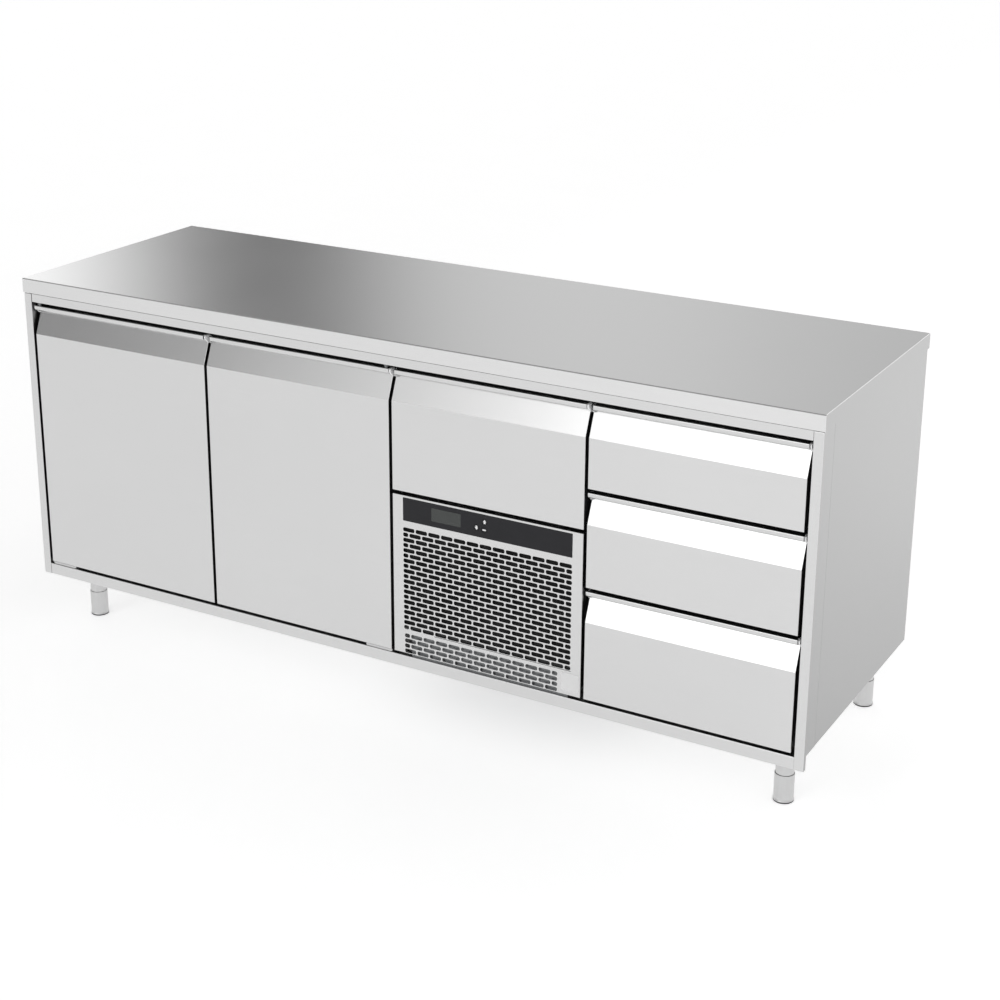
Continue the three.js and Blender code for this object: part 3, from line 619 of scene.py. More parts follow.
def slot_field(left, right, first, rows, shifted_row):
    """Rows of slots like brickwork: rows 1, 3, 5 or 0, 2, 4 are shifted by half a pitch."""
    slots = []
    for row in range(rows):
        z = first - row * SLOT_PITCH_Z - SLOT_HEIGHT / 2
        x = left - SLOT_PITCH_X / 2 if row % 2 == shifted_row else left
        while x < right - (SLOT_PITCH_X - SLOT_LENGTH):
            x0, x1 = max(x, left), min(x + SLOT_LENGTH, right)
            if x1 - x0 > SLOT_CORNER * 2 + 0.2:
                slots.append(rounded_rectangle(x0, x1, z, z + SLOT_HEIGHT, SLOT_CORNER, 4))
            x += SLOT_PITCH_X
    return slots


def make_machine_cover():
    low, high = node_box("grille_panel")
    depth = high.y - low.y
    seam = rounded_rectangle(138, 480, 229, 230.2, 0.5, 2)
    holes = [front_outline(FASCIA_LOW, FASCIA_HIGH, -0.3, 1, 2), seam]
    holes += slot_field(59.5, 478.5, 471.8, 20, 1) + slot_field(61.5, 447.5, 216, 4, 0)
    cover = Shape().plate(front_outline(low, high, 0.6, 0.8, 2), holes, low.y, low.y + SHEET)
    edge = [(0, 1.6), (0.25, 0.7), (0.7, 0.25), (1.6, 0), (1.6, SHEET), (SHEET, SHEET + 0.4),
            (SHEET, depth), (0, depth)]
    cover.ring(edge, low, high, low.y)
    build("machine_cover_sheet", cover, "brushed_stainless", [front_steel], "grille_panel")
    label = Shape()
    label.prism(rounded_rectangle(456, 500, 183, 224, 4, 5), "Y", low.y - 0.5, low.y + 0.1, radius=0.2)
    build("blank_plate", label, "key_plastic", [blank_label])


ARROW = [(-4.2, -0.6), (-2.2, -0.6), (-2.2, -4.4), (2.2, -4.4), (2.2, -0.6), (4.2, -0.6), (0, 5.2)]
KEY_MARKS = {
    "down": [(x, -z) for x, z in ARROW],
    "up": ARROW,
    "set": rounded_rectangle(-4.4, 4.4, -1.6, 1.6, 1.4, 3),
}
KEY_RADIUS = (node_box("key_set")[1].x - node_box("key_set")[0].x) / 2


def make_controls():
    front, back = FASCIA_LOW.y, FASCIA_HIGH.y
    places = {key: middle_of("key_" + key) for key in KEY_MARKS}
    holes = [moved(circle(KEY_RADIUS + 0.3, 32), place.x, place.z) for place in places.values()]
    holes.append(front_outline(DISPLAY_LOW, DISPLAY_HIGH, -0.3, 2, 4))
    strip = Shape().plate(front_outline(FASCIA_LOW, FASCIA_HIGH, 0, 1, 3), holes, front, back)
    build("control_strip", strip, "fascia_plastic", [fascia_film], "control_fascia")
    glass = Shape()
    glass.prism(front_outline(DISPLAY_LOW, DISPLAY_HIGH, 0, 1.8, 4), "Y", front - 0.1, back, radius=0.3)
    build("display_glass", glass, "display_plastic", [smoked_window], "display_window")
    for key, (x, _, z) in places.items():
        low, high = node_box("key_" + key)
        r, depth = KEY_RADIUS, high.y - low.y
        cap = Shape()
        cap.lathe([(0, 0), (r, 0), (r, depth - 0.7), (r - 0.5, depth - 0.2), (0, depth - 0.2)],
                  (x, high.y, z), "-Y")
        cap.prism(moved(KEY_MARKS[key], x, z), "Y", low.y, low.y + 0.6, material=1)
        build(f"key_{key}_cap", cap, "key_plastic", [fascia_film, key_white], "key_" + key, body=key + "_key")


# ---- cabin linings ----
LEFT_WALL = (node_box("left_divider")[0].x + LEDGE_WIDTH, node_box("left_divider")[1].x - LEDGE_WIDTH)
RIGHT_WALL = (node_box("right_divider")[0].x + LEDGE_WIDTH, node_box("right_divider")[1].x)
MACHINE_CEILING_LOW, MACHINE_CEILING_HIGH = node_box("machine_ceiling")
FLANGE_DROP = 40  # height of a drawer's flange over the bottom of its box
MACHINE_LEDGE = node_box("machine_drawer_box")[0].z + FLANGE_DROP - 0.3
COVE = 12


def make_linings():
    for node in ("ceiling_panel", "left_floor_panel", "right_floor_panel", "machine_ceiling",
                 "door_mullion", "upper_crossbar", "lower_crossbar"):
        shape = Shape().box(*node_box(node), radius=1.2, segments=5)
        build(node + "_sheet", shape, "liner_steel", [liner_steel], node)
    ledges = {
        "left_divider": ((LEFT_WALL[0], -1, SHELF_TOP), (LEFT_WALL[1], 1, MACHINE_LEDGE)),
        "right_divider": ((RIGHT_WALL[0], -1, MACHINE_LEDGE),),
    }
    for node, (x0, x1) in (("left_divider", LEFT_WALL), ("right_divider", RIGHT_WALL)):
        low, high = node_box(node)
        shape = Shape().box((x0, low.y, low.z), (x1, high.y, high.z), radius=1.2, segments=5)
        for wall, direction, top in ledges[node]:
            shape.prism(moved(LEDGE_SECTION, wall, top, direction), "Y", *LEDGE_ENDS, radius=0.6)
        build(node + "_sheet", shape, "liner_steel", [liner_steel], node)


def cove(u, v, du, dv):
    """A concave corner fillet between two walls that meet at (u, v)."""
    hollow = [(u + du * x, v + dv * y) for x, y in arc(COVE, COVE, COVE, 270, 180, 6)]
    return [(u - du * 0.4, v - dv * 0.4)] + hollow


def make_coves():
    """Rounded corners of the three cold cabins, as hygienic liners have."""
    cabins = (
        (-INNER_X, LEFT_WALL[0], FLOOR_Z),
        (LEFT_WALL[1], RIGHT_WALL[0], MACHINE_CEILING_HIGH.z),
        (RIGHT_WALL[1], INNER_X, FLOOR_Z),
    )
    shape = Shape()
    ends = (SEAL_Y + 1, INNER_BACK_Y - 0.5)
    for x0, x1, floor in cabins:
        for x, dx in ((x0, 1), (x1, -1)):
            shape.prism(cove(x, floor, dx, 1), "Y", *ends)
            shape.prism(cove(x, CEILING_Z, dx, -1), "Y", *ends)
            shape.prism(cove(x, INNER_BACK_Y, dx, -1), "Z", floor + 1, CEILING_Z - 1)
        for z, dz in ((floor, 1), (CEILING_Z, -1)):
            shape.prism(cove(INNER_BACK_Y, z, -1, dz), "X", x0 + 1, x1 - 1)
    build("cabin_coves", shape, "liner_steel", [liner_steel])


# ---- rear panel ----
COVER_LOW, COVER_HIGH = Vector((76, 0, 276)), Vector((454, 0, 500))
VENT_COLUMNS = ((100, 250), (280, 430))
VENT_ROWS = spaced(300, 460, 6)
GLAND = (430, 240)


def make_rear_sheet():
    low, high = REAR_LOW, REAR_HIGH
    panel = Shape()
    holes = [front_outline(COVER_LOW, COVER_HIGH, 14, 8, 4), moved(circle(12, 24), *GLAND)]
    panel.plate(front_outline(low, high, 0.5, 1, 2), holes, high.y - SHEET, high.y)
    depth = high.y - low.y
    panel.ring([(0.3, 0.8), (1.4, 0.8), (1.4, depth - 0.6), (0.3, depth - 0.3)], low, high, low.y)
    foam = ((low.x, 29, low.z), (507, high.x, low.z), (29.3, 506.7, MACHINE_CEILING_LOW.z))
    for x0, x1, z0 in foam:
        panel.box((x0 + 1.5, low.y, z0 + 1.5), (x1 - 1.5, high.y - 1.6, high.z - 1.5))
    build("rear_sheet", panel, "brushed_stainless", [shaded_side_steel], "rear_panel")


def make_rear_cover():
    """Louvred cover of the machine bay."""
    y = REAR_HIGH.y
    cover = Shape()
    slots = [rounded_rectangle(x0 + 3, x1 - 3, z, z + 10, 3, 3)
             for (x0, x1), z in product(VENT_COLUMNS, VENT_ROWS)]
    cover.plate(front_outline(COVER_LOW, COVER_HIGH, 0, 10, 6), slots, y + 0.2, y + 1.4)
    outer = [(1.2, 15), (3, 13.4), (4.2, 10.4), (4.7, 6.5), (4.7, 2)]  # of a louvre: depth, height
    inner = [(3.9, 2), (3.8, 6.3), (3.3, 9.6), (2.4, 11.6), (1.2, 12.8)]
    for (x0, x1), row in product(VENT_COLUMNS, VENT_ROWS):
        cover.prism(moved(outer + inner, y, row), "X", x0, x1, radius=0.35)
        for x in (x0, x1 - 0.8):
            cover.prism(moved(outer + [(1.2, 2)], y, row), "X", x, x + 0.8)
    places = product(spaced(COVER_LOW.x + 10, COVER_HIGH.x - 10, 3), (COVER_LOW.z + 10, COVER_HIGH.z - 10))
    cover.screws([(x, y + 1.4, z) for x, z in places], "Y")
    build("rear_machine_cover", cover, "brushed_stainless", [shaded_side_steel], sharp=28)


def make_rear_fixings():
    low, high = REAR_LOW, REAR_HIGH
    places = list(product(spaced(low.x + 30, high.x - 30, 9), (low.z + 16, high.z - 16)))
    places += product((low.x + 16, high.x - 16), (low.z + 180, low.z + 350, low.z + 520))
    screws = Shape()
    screws.screws([(x, high.y, z) for x, z in places], "Y")
    build("rear_screws", screws, "leg_steel", [leg_steel], sharp=40)
    plate = Shape()
    plate.prism(rounded_rectangle(-890, -800, 760, 815, 3, 4), "Y", high.y, high.y + 0.8, radius=0.3)
    for x, z in product((-884, -806), (766, 809)):
        plate.lathe([(2.2, 0), (2, 0.7), (1, 1.2), (0, 1.3)], (x, high.y + 0.6, z), "Y", 12)
    build("rear_blank_plate", plate, "fin_aluminium", [fin_metal], sharp=40)


def make_gland():
    y = node_box("cable_gland")[1].y
    shape = Shape()
    profile = [(5, 0), (9, 0), (11.5, -1.6), (17, -2), (17, -3.9), (11, -4), (11, -46), (5, -46), (5, 0)]
    shape.lathe(profile, (GLAND[0], y, GLAND[1]), "Y", 28)
    for x, z in moved(circle(14, 8), *GLAND):
        shape.box((x - 1.2, y - 3, z - 1.2), (x + 1.2, y - 1.2, z + 1.2), radius=0.4)
    build("cable_gland_body", shape, "seal_rubber", [seal_rubber], "cable_gland", sharp=40)


# ---- shelves, drawer rails and drawers ----
def make_shelf(side):
    low, high = node_box(side + "_shelf")
    rim = 3.4
    x0, x1, y0, y1, z = low.x + rim, high.x - rim, low.y + rim, high.y - rim, low.z + rim
    shape = Shape()
    corners = [(x0, y0, z), (x1, y0, z), (x1, y1, z), (x0, y1, z)]
    shape.tube(rounded_path(corners, 16, closed=True), rim, 12, closed=True)
    for x in spaced(low.x + 14, high.x - 14, 23):
        shape.tube([(x, low.y + 2.2, high.z - 1.7), (x, high.y - 2.2, high.z - 1.7)], 1.7, 8)
    for y in spaced(low.y, high.y, 5)[1:-1]:
        shape.tube([(low.x + 2.5, y, z - 0.6), (high.x - 2.5, y, z - 0.6)], 2.6)
    build(side + "_wire_shelf", shape, "shelf_wire", [coated_wire], side + "_shelf", sharp=50)


def make_shelf_rail():
    low, high = node_box("shelf_centre_rail")
    t = 1.5
    outline = [(low.x, high.z), (low.x, low.z), (low.x + t, low.z), (low.x + t, high.z - t),
               (high.x - t, high.z - t), (high.x - t, low.z), (high.x, low.z), (high.x, high.z)]
    shape = Shape().prism(outline, "Y", low.y, high.y, radius=0.4)
    build("shelf_centre_channel", shape, "shelf_wire", [coated_wire], "shelf_centre_rail")


def make_rack(side):
    """Two slotted uprights with a rail and a roller for each drawer."""
    low, high = node_box(side + "_drawer_rack")
    inward = 1 if side == "left" else -1
    wall = low.x if side == "left" else high.x
    channel = [(0, 0), (3, 0), (3, 26), (0, 26), (0, 24.6), (1.6, 24.6), (1.6, 1.4), (0, 1.4)]
    rail = [(0.2, -26), (1.8, -26), (1.8, -2), (12.4, -2), (12.4, -7), (14, -7), (14, -0.5), (13.5, 0),
            (0.2, 0)]
    roller = [(0, -4), (7.2, -4), (7.8, -3.4), (7.8, 3.4), (7.2, 4), (0, 4)]
    shape = Shape()
    for y in (low.y + 48, high.y - 27):
        shape.prism(moved(channel, wall, y, inward), "Z", low.z, high.z, radius=0.4)
    for drawer in DRAWERS[:3]:
        top = node_box(drawer + "_box")[0].z + FLANGE_DROP - 0.3
        shape.prism(moved(rail, wall, top, inward), "Y", low.y, high.y - 30, radius=0.5)
        shape.lathe(roller, (wall + inward * 7.2, low.y + 12, top - 10.2), "X", 24, material=1)
        shape.screws([(wall + inward * 1.6, y, top - 15) for y in (low.y + 61, high.y - 14)],
                     "X" if inward > 0 else "-X", 3)
    build(side + "_drawer_rails", shape, "galvanised_steel", [zinc, nylon], side + "_drawer_rack", sharp=30)


def make_drawer_box(name):
    """Deep-drawn steel box with a rolled rim, on two runner angles."""
    low, high = node_box(name + "_box")
    reach, sheet = 14, 1.3
    x0, x1, y0, y1, z0, z1 = low.x + reach, high.x - reach, low.y, high.y, low.z, high.z
    steps = [(4.5, z0), (2.2, z0 + 0.7), (0.7, z0 + 2.2), (0, z0 + 4.5), (0, z1 - 6), (-1.6, z1 - 5.4),
             (-2.2, z1 - 3.2), (-1.8, z1 - 1), (-0.4, z1), (1.2, z1), (2.2, z1 - 0.8), (2.4, z1 - 2.4),
             (sheet, z1 - 5), (sheet, z0 + 5.4), (2, z0 + 3.4), (3.4, z0 + 2), (5.4, z0 + sheet)]
    rings = []
    for inset, z in steps:  # from the middle of the underside, round the rim, to the floor inside
        flat = rounded_rectangle(x0 + inset, x1 - inset, y0 + 2.4 + inset, y1 - 2.4 - inset,
                                 max(9 - inset, 0.8))
        rings.append([(x, y, z) for x, y in flat])
    shape = Shape().shell(rings)
    flange = z0 + FLANGE_DROP
    angle = [(0, 24), (1.5, 24), (1.5, 1.6), (12.6, 1.6), (12.6, 9), (14, 9), (14, 0.6), (13.4, 0), (0, 0)]
    for wall, outward in ((x0, -1), (x1, 1)):
        shape.prism(moved(angle, wall, flange, outward), "Y", y0 + 22, y1 - 6, radius=0.4)
        shape.screws([(wall + outward * 1.5, y, flange + 16) for y in (y0 + 60, (y0 + y1) / 2, y1 - 40)],
                     "X" if outward > 0 else "-X", 2.8)
    build(name + "_tray", shape, "liner_steel", [liner_steel], name + "_box", body=name, sharp=28)


# ---- legs and hinges ----
def make_leg(corner):
    leg, foot = "leg_" + corner, "foot_" + corner
    low, high = node_box(leg)
    middle = middle_of(foot)
    centre = (middle.x, middle.y, 0)
    tube = Shape()
    tube.prism(rounded_rectangle(low.x, high.x, low.y, high.y, 7), "Z", high.z - 3, high.z, radius=0.7)
    tube.lathe([(0, 30.4), (19.2, 30.4), (20.2, 31.4), (20.2, 118), (21.4, 124), (24, 132), (25, 140),
                (25, high.z - 2.6), (0, high.z - 2.6)], centre, "Z", 56)
    rear_screw = 26 if high.y > 300 else 31  # the plates of the rear legs are shorter
    tube.screws([(middle.x + x, middle.y + y, high.z - 3) for x in (-31, 31) for y in (-31, rear_screw)],
                "-Z", 4.2)
    build(leg + "_tube", tube, "leg_steel", [leg_steel], leg, sharp=26)

    top = node_box(foot)[1].z
    cup = [(0, 2.8), (22, 2.8), (22.6, 3.2), (22.6, 4.6), (21.9, 5.8), (21.6, 8), (21.7, top - 1.2),
           (21.4, top - 0.4), (20.5, top - 0.4), (20.5, 31), (0, 31)]
    sole = [(0, 0), (22, 0), (22.4, 0.4), (22.4, 2.9), (0, 2.9)]
    joint = [(20.4, top - 0.6), (20.9, top - 0.6), (20.9, top), (20.4, top), (20.4, top - 0.6)]
    shape = Shape()
    for profile, material in ((cup, 0), (sole, 1), (joint, 1)):
        shape.lathe(profile, centre, "Z", 56, material)
    build(foot + "_cup", shape, "leg_steel", [leg_steel, edge_plastic], foot, body=foot, sharp=26)


def make_hinge(node, pin_x, outward, reach):
    """Plate with a pin and a washer; the lower plate almost fills the gap under the door."""
    low, high = node_box(node)
    is_lower = low.z < 400
    x0, x1 = sorted((pin_x + outward * min(10, reach), pin_x - outward * reach))
    centre = (pin_x, FRONT_Y + 10, 0)
    shape = Shape()
    if is_lower:
        front, z0, z1 = low.y, low.z + 0.5, low.z + 5.9
        pin = [(4, z1 - 0.5), (4, high.z - 0.8), (3.2, high.z), (0, high.z)]
    else:
        front, z0, z1 = FRONT_Y + 4.5, high.z - 2.4, high.z
        pin = [(0, low.z), (3.2, low.z), (4, low.z + 0.8), (4, z0 + 0.5)]
        shape.lathe([(0, z0 - 3), (5.5, z0 - 3), (5.5, z0 + 0.4), (0, z0 + 0.4)], centre, "Z", 24)
    shape.prism(rounded_rectangle(x0, x1, front, high.y, 5), "Z", z0, z1, radius=0.5)
    shape.lathe(pin, centre, "Z", 24)
    # The upper plates take the darker zinc: painted shade that keeps them dark in the gap above the door.
    build(node + "_plate", shape, "brushed_stainless", [leg_steel if is_lower else tray_zinc], node, sharp=28)


# ---- machine bay ----
def make_machine_tray():
    """Zinc drip tray with an upturned front edge, seen through the lower slots and the gap below."""
    low, high = node_box("machine_tray")
    z0, z1, front = low.z, low.z + 1.5, low.y + 1
    shape = Shape().box((low.x, SEAL_Y + 1, z0), (high.x, high.y, z1), radius=0.3)
    edge = [(front, z0), (SEAL_Y + 4, z0), (SEAL_Y + 4, z1), (front + 1.5, z1), (front + 1.5, 226),
            (front + 8, 230), (front + 8, 231.5), (front, 227)]
    shape.prism(edge, "X", 76, 470, radius=0.3)
    build("machine_drip_tray", shape, "galvanised_steel", [tray_zinc], "machine_tray")


def make_air_filter():
    """Pleated dark filter behind the upper slots; its near-black cloth is partly the filter's own colour and
    partly painted shade of the machine bay behind.
    """
    low, high = Vector((48, 0, 233)), Vector((490, 0, 480))
    front, depth, pleats = FRONT_Y + 5, 8, 41
    zigzag = [(front + (depth - 2.4 if i % 2 else 1), z)
              for i, z in enumerate(spaced(low.z, high.z, 2 * pleats + 1))]
    shape = Shape().prism(zigzag + moved(zigzag[::-1], 1.4, 0), "X", low.x + 2, high.x - 2)
    shape.ring([(0, 0), (5, 0), (5, depth), (0, depth)], low - Vector((0, 0, 1)), high + Vector((0, 0, 1)),
               front)
    build("air_filter_and_shade", shape, "fan_plastic", [filter_cloth_and_shade], sharp=30)


def make_rotor(name, node, hub, radius, depth, thickness):
    """Fan of five twisted sheet blades round a hub that turns about Y."""
    centre = middle_of(node)
    count, sweep, skew = 5, 34, 16
    shape = Shape()
    for k in range(count):
        part = bmesh.new()
        rows = []
        for share in spaced(0, 1, 7):
            r = hub - 2 + (radius - hub + 2) * share
            row = []
            for t in spaced(-0.5, 0.5, 8):
                angle = math.radians(k * 360 / count + skew * share + sweep * t * (1 + 0.35 * share))
                camber = 0.10 * depth * (1 - 4 * t * t)
                y = camber - t * depth * (1 - 0.35 * share)
                row.append(part.verts.new((r * math.cos(angle), y, r * math.sin(angle))))
            rows.append(row)
        for (lower, upper), j in product(zip(rows, rows[1:]), range(7)):
            part.faces.new((lower[j], lower[j + 1], upper[j + 1], upper[j]))
        bmesh.ops.recalc_face_normals(part, faces=part.faces)
        bmesh.ops.solidify(part, geom=part.faces[:], thickness=thickness)
        bmesh.ops.translate(part, vec=centre, verts=part.verts)
        shape.take(part)
    half = depth / 2
    shape.lathe([(0, half), (hub - 3, half), (hub, half - 3), (hub, 4 - half), (hub - 4, -half),
                 (hub * 0.4, -half - 0.6), (0, -half - 0.8)], centre, "Y")
    build(name + "_rotor", shape, "fan_plastic", [fan_plastic], node, body=name, sharp=35)


def make_condenser():
    low, high = node_box("condenser_coil")
    shroud_low, shroud_high = node_box("condenser_fan_shroud")
    right, base = shroud_high.x, shroud_low.z
    shape = Shape()
    for x in spaced(low.x + 4, right - 4, 62):
        shape.box((x - 0.35, low.y + 1, base + 1), (x + 0.35, high.y - 1, high.z - 1), radius=0)
    for x in (low.x, right - 1.5):
        shape.box((x, low.y, BODY_BOTTOM + 0.2), (x + 1.5, high.y, high.z), radius=0.4, material=1)
    heights = spaced(base + 20, high.z - 20, 9)
    for first, y in enumerate((low.y + 16, high.y - 16)):
        for z in heights:
            shape.tube([(low.x - 2, y, z), (right + 1, y, z)], 4.6, 12, material=2)
        for z, above in list(zip(heights, heights[1:]))[first::2]:
            bend = [(right, y, z), (right + 10, y, z), (right + 10, y, above), (right, y, above)]
            shape.tube(rounded_path(bend, 9.5), 4.4, 12, material=2)
    build("condenser_fins", shape, "fin_aluminium", [fin_metal, zinc, copper], "condenser_coil", sharp=30)


def make_condenser_fan():
    low, high = node_box("condenser_fan_shroud")
    x, _, z = middle_of("condenser_fan_blade")
    depth, opening = 34, 98
    back = low.y + depth
    shape = Shape()
    shape.plate(front_outline(low, high, 0, 3, 3), [moved(circle(opening, 56), x, z)], back - 1.6, back)
    shape.ring([(0, 0), (1.6, 0), (1.6, depth - 1), (0, depth - 1)], low, high, low.y)
    inlet = [(opening, 0), (99.6, 0), (99.6, -24), (opening, -24), (opening, 0)]
    shape.lathe(inlet, (x, back, z), "Y", 56)
    motor = [(0, 0), (30, 0), (36, 2), (38, 6), (38, 46), (34, 54), (24, 58), (8, 60), (0, 60)]
    shape.lathe(motor, (x, back + 2, z), "Y", 36)
    for dx, dz in circle(1, 4, start=45):
        strut = [(x + r * dx, back + 2 + y, z + r * dz) for r, y in ((30, 20), (60, 20), (104, 1))]
        shape.tube(rounded_path(strut, 14, 5), 2.6)
    for radius in (52, 74, 95):
        wire = moved(circle(radius, 45), x, z)
        shape.tube([(u, back + 24 - radius * 0.16, v) for u, v in wire], 1.3, 8, closed=True)
    build("condenser_fan_housing", shape, "fan_plastic", [fan_plastic], "condenser_fan_shroud", sharp=30)


def make_compressor():
    low, high = node_box("compressor")
    x, y, z = (low.x + high.x) / 2, high.y - 76, low.z
    shape = Shape()
    dome = [(0, 18), (48, 18), (62, 22), (71, 31), (75, 44), (75.5, 96), (79, 98), (79, 106), (75.5, 108),
            (75, 134), (72, 154), (64, 173), (50, 187), (30, 196), (0, 198)]
    shape.lathe(dome, (x, y, z), "Z", 56)
    plate = rounded_rectangle(x - 100, x + 100, y - 70, y + 70, 20, 6)
    shape.prism(plate, "Z", z + 12, z + 16, radius=0.8)
    shape.box((x - 30, low.y, z + 66), (x + 30, low.y + 40, z + 132), radius=5, segments=5)
    shape.box((x - 22, low.y - 1.5, z + 76), (x + 22, low.y + 2, z + 122), radius=1.4, segments=3)
    feet = [(x + dx, y + dy) for dx, dy in product((-84, 84), (-54, 54))]
    grommet = [(0, 0), (11, 0), (12, 2), (9, 6), (12, 10), (12, 12), (8, 18), (0, 18)]
    for foot in feet:
        shape.lathe(grommet, (*foot, z - 0.2), "Z", 20, material=1)
    shape.screws([(*foot, z + 18) for foot in feet], "Z", 5)
    pipes = (
        ([(x - 60, y - 30, z + 120), (x - 96, y - 60, z + 120), (x - 96, y - 60, z + 290),
          (x - 96, y - 120, z + 290), (392, -222, z + 290), (392, -222, z + 262)], 4, 22),
        ([(x + 50, y - 48, z + 130), (x + 78, y - 70, z + 130), (x + 78, y - 70, z + 330),
          (x + 78, 262, z + 330)], 5.5, 24),
        ([(400, -235, 210), (444, -235, 210), (444, -150, 210), (444, -150, 480), (300, -150, 500),
          (70, -150, 500)], 3, 16),
    )
    for path, radius, bend in pipes:
        shape.tube(rounded_path(path, bend), radius, 12, material=2)
    drier = [(0, 0), (4, 0), (9.5, 10), (9.5, 92), (4, 104), (0, 104)]
    shape.lathe(drier, (444, -150, 250), "Z", 24, material=2)
    build("compressor_shell", shape, "compressor_paint", [enamel, seal_rubber, copper], "compressor",
          sharp=30)


def make_evaporator():
    low, high = node_box("evaporator")
    centre = middle_of("evaporator_fan_blade")
    slots = [rounded_rectangle(x, x + 8, z, z + 40, 3.9, 3)
             for start in (low.x + 14, high.x - 62) for x in (start, start + 20, start + 40)
             for z in (low.z + 18, low.z + 70, low.z + 122)]
    shape = Shape()
    opening = moved(circle(73, 48), centre.x, centre.z)
    shape.plate(front_outline(low, high, 0.4, 3, 3), [opening] + slots, low.y, low.y + 1.4)
    depth = high.y - low.y
    shape.ring([(0, 1.2), (1.2, 0), (1.6, 1.4), (1.6, depth), (0, depth)], low, high, low.y)
    for x in spaced(low.x + 6, high.x - 6, 54):
        shape.box((x - 0.3, low.y + 46, low.z + 3), (x + 0.3, high.y - 0.5, high.z - 3), radius=0)
    for z in (low.z + 30, low.z + 90, low.z + 150):
        shape.tube([(low.x + 3, low.y + 56, z), (high.x - 3, low.y + 56, z)], 4.5, 12, material=1)
    motor = [(0, 0), (15, 0), (16, 1), (16, 22), (13, 26), (0, 26)]
    shape.lathe(motor, (centre.x, centre.y + 9, centre.z), "Y", 24, material=2)
    for radius in (16, 30, 44, 58, 72):
        wire = moved(circle(radius, 36), centre.x, centre.z)
        shape.tube([(x, low.y - 2.2 + radius * 0.02, z) for x, z in wire], 1.1, 8, closed=True, material=2)
    for dx, dz in circle(1, 6, start=30):
        spoke = [(centre.x + r * dx, low.y + y, centre.z + r * dz) for r, y in ((12, -2.6), (78, -0.4))]
        shape.tube(spoke, 1.3, 8, material=2)
    shape.screws([(x, low.y, z) for x, z in product((low.x + 12, high.x - 12), (low.z + 8, high.z - 8))],
                 radius=2.8)
    build("evaporator_case", shape, "fin_aluminium", [fin_metal, copper, fan_plastic], "evaporator", sharp=30)


# ---- studio ----
def make_floor():
    """White paper that glows: painted light, brighter to the right and most of all beside the right end, with
    a painted shadow that dims the extra glow round the front right corner.
    """
    mesh = bpy.data.meshes.new("studio_floor")
    disc = bmesh.new()
    bmesh.ops.create_circle(disc, cap_ends=True, cap_tris=False, segments=96, radius=34)
    disc.to_mesh(mesh)
    disc.free()
    material, tree, shader = new_material("floor_paper")
    place = add(tree, "TexCoord")["Object"]
    x = add(tree, "SeparateXYZ", {0: place})["X"]
    distance = add(tree, "VectorMath", {0: place, 1: (0.9, -0.4, 0)}, operation="DISTANCE")["Value"]
    # Painted light and shadow: the glow rises to the right, the side term adds more beyond the right end, and
    # the distance term takes that extra away near the front right corner.
    painted_light_gradient = map_range(tree, x, -2.2, 0.4, 0.45, 0.525, "SMOOTHSTEP")
    painted_shadow_falloff = map_range(tree, distance, 0.35, 2.4, 0, 1)
    side = map_range(tree, x, 0.6, 1.3, 0, 0.24, "SMOOTHSTEP")
    feed(shader, {
        "Base Color": tint(tree, noise(tree, 3, detail=3), [0.845] * 3, [0.86] * 3),
        "Roughness": 0.9,
        "Emission Color": (1, 1, 1, 1),
        "Emission Strength": math_node(tree, "MULTIPLY_ADD", painted_shadow_falloff, side, painted_light_gradient),
    })
    mesh.materials.append(material)
    floor = link_object("studio_floor", mesh)


# Brightness of the studio wall by compass angle, in degrees from the back (+Y) towards the left (-X).
WALL_BRIGHTNESS = [
    (-180, 1), (-150, 0.95), (-120, 0.75), (-90, 0.7), (-60, 0.75), (-34, 0.92), (-27, 1.12),
    (-12, 1.12), (-6, 0.64), (0, 0.60), (16, 0.64), (20, 0.68), (27, 0.78), (30.6, 0.74), (32.6, 0.59),
    (35, 0.29), (36.8, 0.17), (38.6, 0.27), (40.5, 0.62), (42.5, 1.03), (45, 1.38), (49, 1.15),
    (60, 0.95), (80, 0.75), (110, 0.42), (134, 0.325), (139, 0.39), (142, 0.54), (146, 0.89),
    (149, 1.05), (152, 1.15), (153.5, 1.45), (155.5, 2.3), (165, 2.3), (171, 1.2), (180, 1),
]
WALL_PEAK = 2.5  # the brightness that stands at the top of the curve, whose values end at 1
CEILING_BRIGHTNESS = 0.36


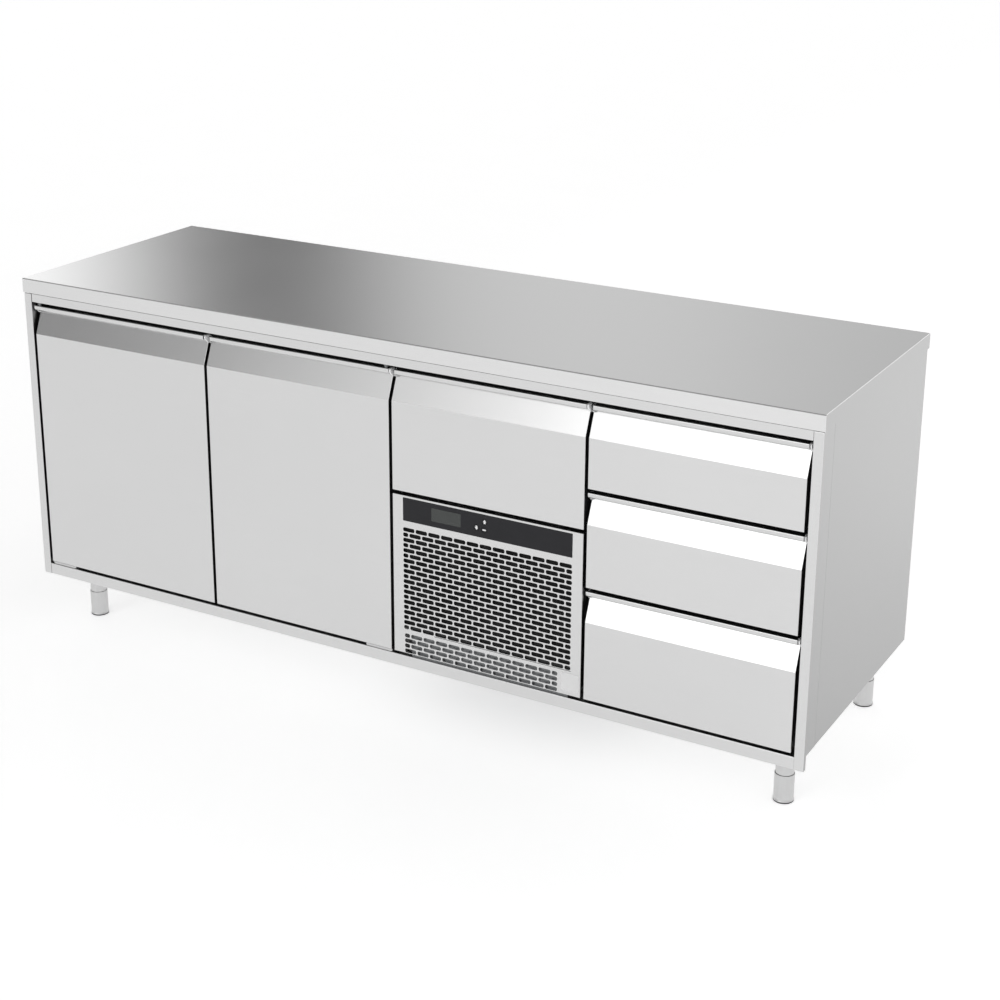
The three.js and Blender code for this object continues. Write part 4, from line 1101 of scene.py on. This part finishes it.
def make_world():
    """Studio wall and ceiling as light and in reflections; the camera itself sees plain white."""
    world = bpy.data.worlds.new("studio_light")
    bpy.context.scene.world = world
    world.use_nodes = True
    tree = world.node_tree
    direction = add(tree, "SeparateXYZ", {0: add(tree, "TexCoord")["Generated"]})
    angle = math_node(tree, "ARCTAN2", math_node(tree, "MULTIPLY", direction["X"], -1), direction["Y"])
    turn = map_range(tree, angle, -math.pi, math.pi, 0, 1)
    wall = add(tree, "FloatCurve", {"Value": turn})["Value"]
    points = wall.node.mapping.curves[0].points
    for degrees, level in WALL_BRIGHTNESS[1:-1]:
        points.new((degrees + 180) / 360, level / WALL_PEAK)
    points[0].location = (0, WALL_BRIGHTNESS[0][1] / WALL_PEAK)
    points[-1].location = (1, WALL_BRIGHTNESS[-1][1] / WALL_PEAK)
    wall.node.mapping.update()
    height = map_range(tree, direction["Z"], 0.55, 0.95, 0, 1, "SMOOTHSTEP")
    share = add(tree, "Mix", {"Factor": height, "A": wall, "B": CEILING_BRIGHTNESS / WALL_PEAK})["Result"]
    seen = add(tree, "Mix", {
        "Factor": add(tree, "LightPath")["Is Camera Ray"],
        "A": math_node(tree, "MULTIPLY", share, WALL_PEAK),
        "B": 1,
    })["Result"]
    feed(tree.nodes["Background"], {"Strength": seen, "Color": (1, 1, 1, 1)})


CAMERA_PLACE = (2.13785, -3.58799, 2.04318)
CAMERA_YAW = -29.57
CAMERA_PITCH = -18.34
CAMERA_ROLL = 0.29


def make_camera():
    data = bpy.data.cameras.new("camera")
    data.lens = 68.08
    data.sensor_width = 36
    data.shift_x = 0.007
    data.shift_y = -0.0957
    data.clip_end = 200
    camera = link_object("camera", data)
    camera.matrix_world = Matrix.Translation(CAMERA_PLACE)
    for degrees, axis in ((-CAMERA_YAW, "Z"), (90 + CAMERA_PITCH, "X"), (CAMERA_ROLL, "Z")):
        camera.matrix_world @= Matrix.Rotation(math.radians(degrees), 4, axis)
    bpy.context.scene.camera = camera


make_worktop()
make_frame()
make_side_panels()
for door in DOORS:
    make_front(door, door + "_panel", door + "_gasket")
for drawer in DRAWERS[::-1]:
    make_front(drawer, drawer + "_front")
for front_node in [door + "_panel" for door in DOORS] + [drawer + "_front" for drawer in DRAWERS[::-1]]:
    make_lip_caps(front_node)
make_machine_cover()
make_controls()
make_linings()
make_coves()
make_rear_sheet()
make_rear_cover()
make_rear_fixings()
make_gland()
for side in ("left", "right"):
    make_shelf(side)
    make_rack(side)
make_shelf_rail()
for drawer in DRAWERS:
    make_drawer_box(drawer)
for corner in ("front_left", "front_right", "rear_left", "rear_right"):
    make_leg(corner)
for door, pin_x, outward in (("left_door", node_box("left_door_panel")[0].x + 10, -1),
                             ("right_door", node_box("right_door_panel")[1].x - 10, 1)):
    make_hinge(door + "_bottom_hinge", pin_x, outward, 62)
    make_hinge(door + "_top_hinge", pin_x, outward, 6.5)
make_machine_tray()
make_air_filter()
make_condenser()
make_condenser_fan()
make_rotor("condenser_fan", "condenser_fan_blade", 24, 90, 22, thickness=1.6)
make_compressor()
make_evaporator()
make_rotor("evaporator_fan", "evaporator_fan_blade", 18, 66, 14, thickness=1.2)
make_floor()
make_world()
make_camera()
bpy.context.scene.view_settings.view_transform = "Standard"
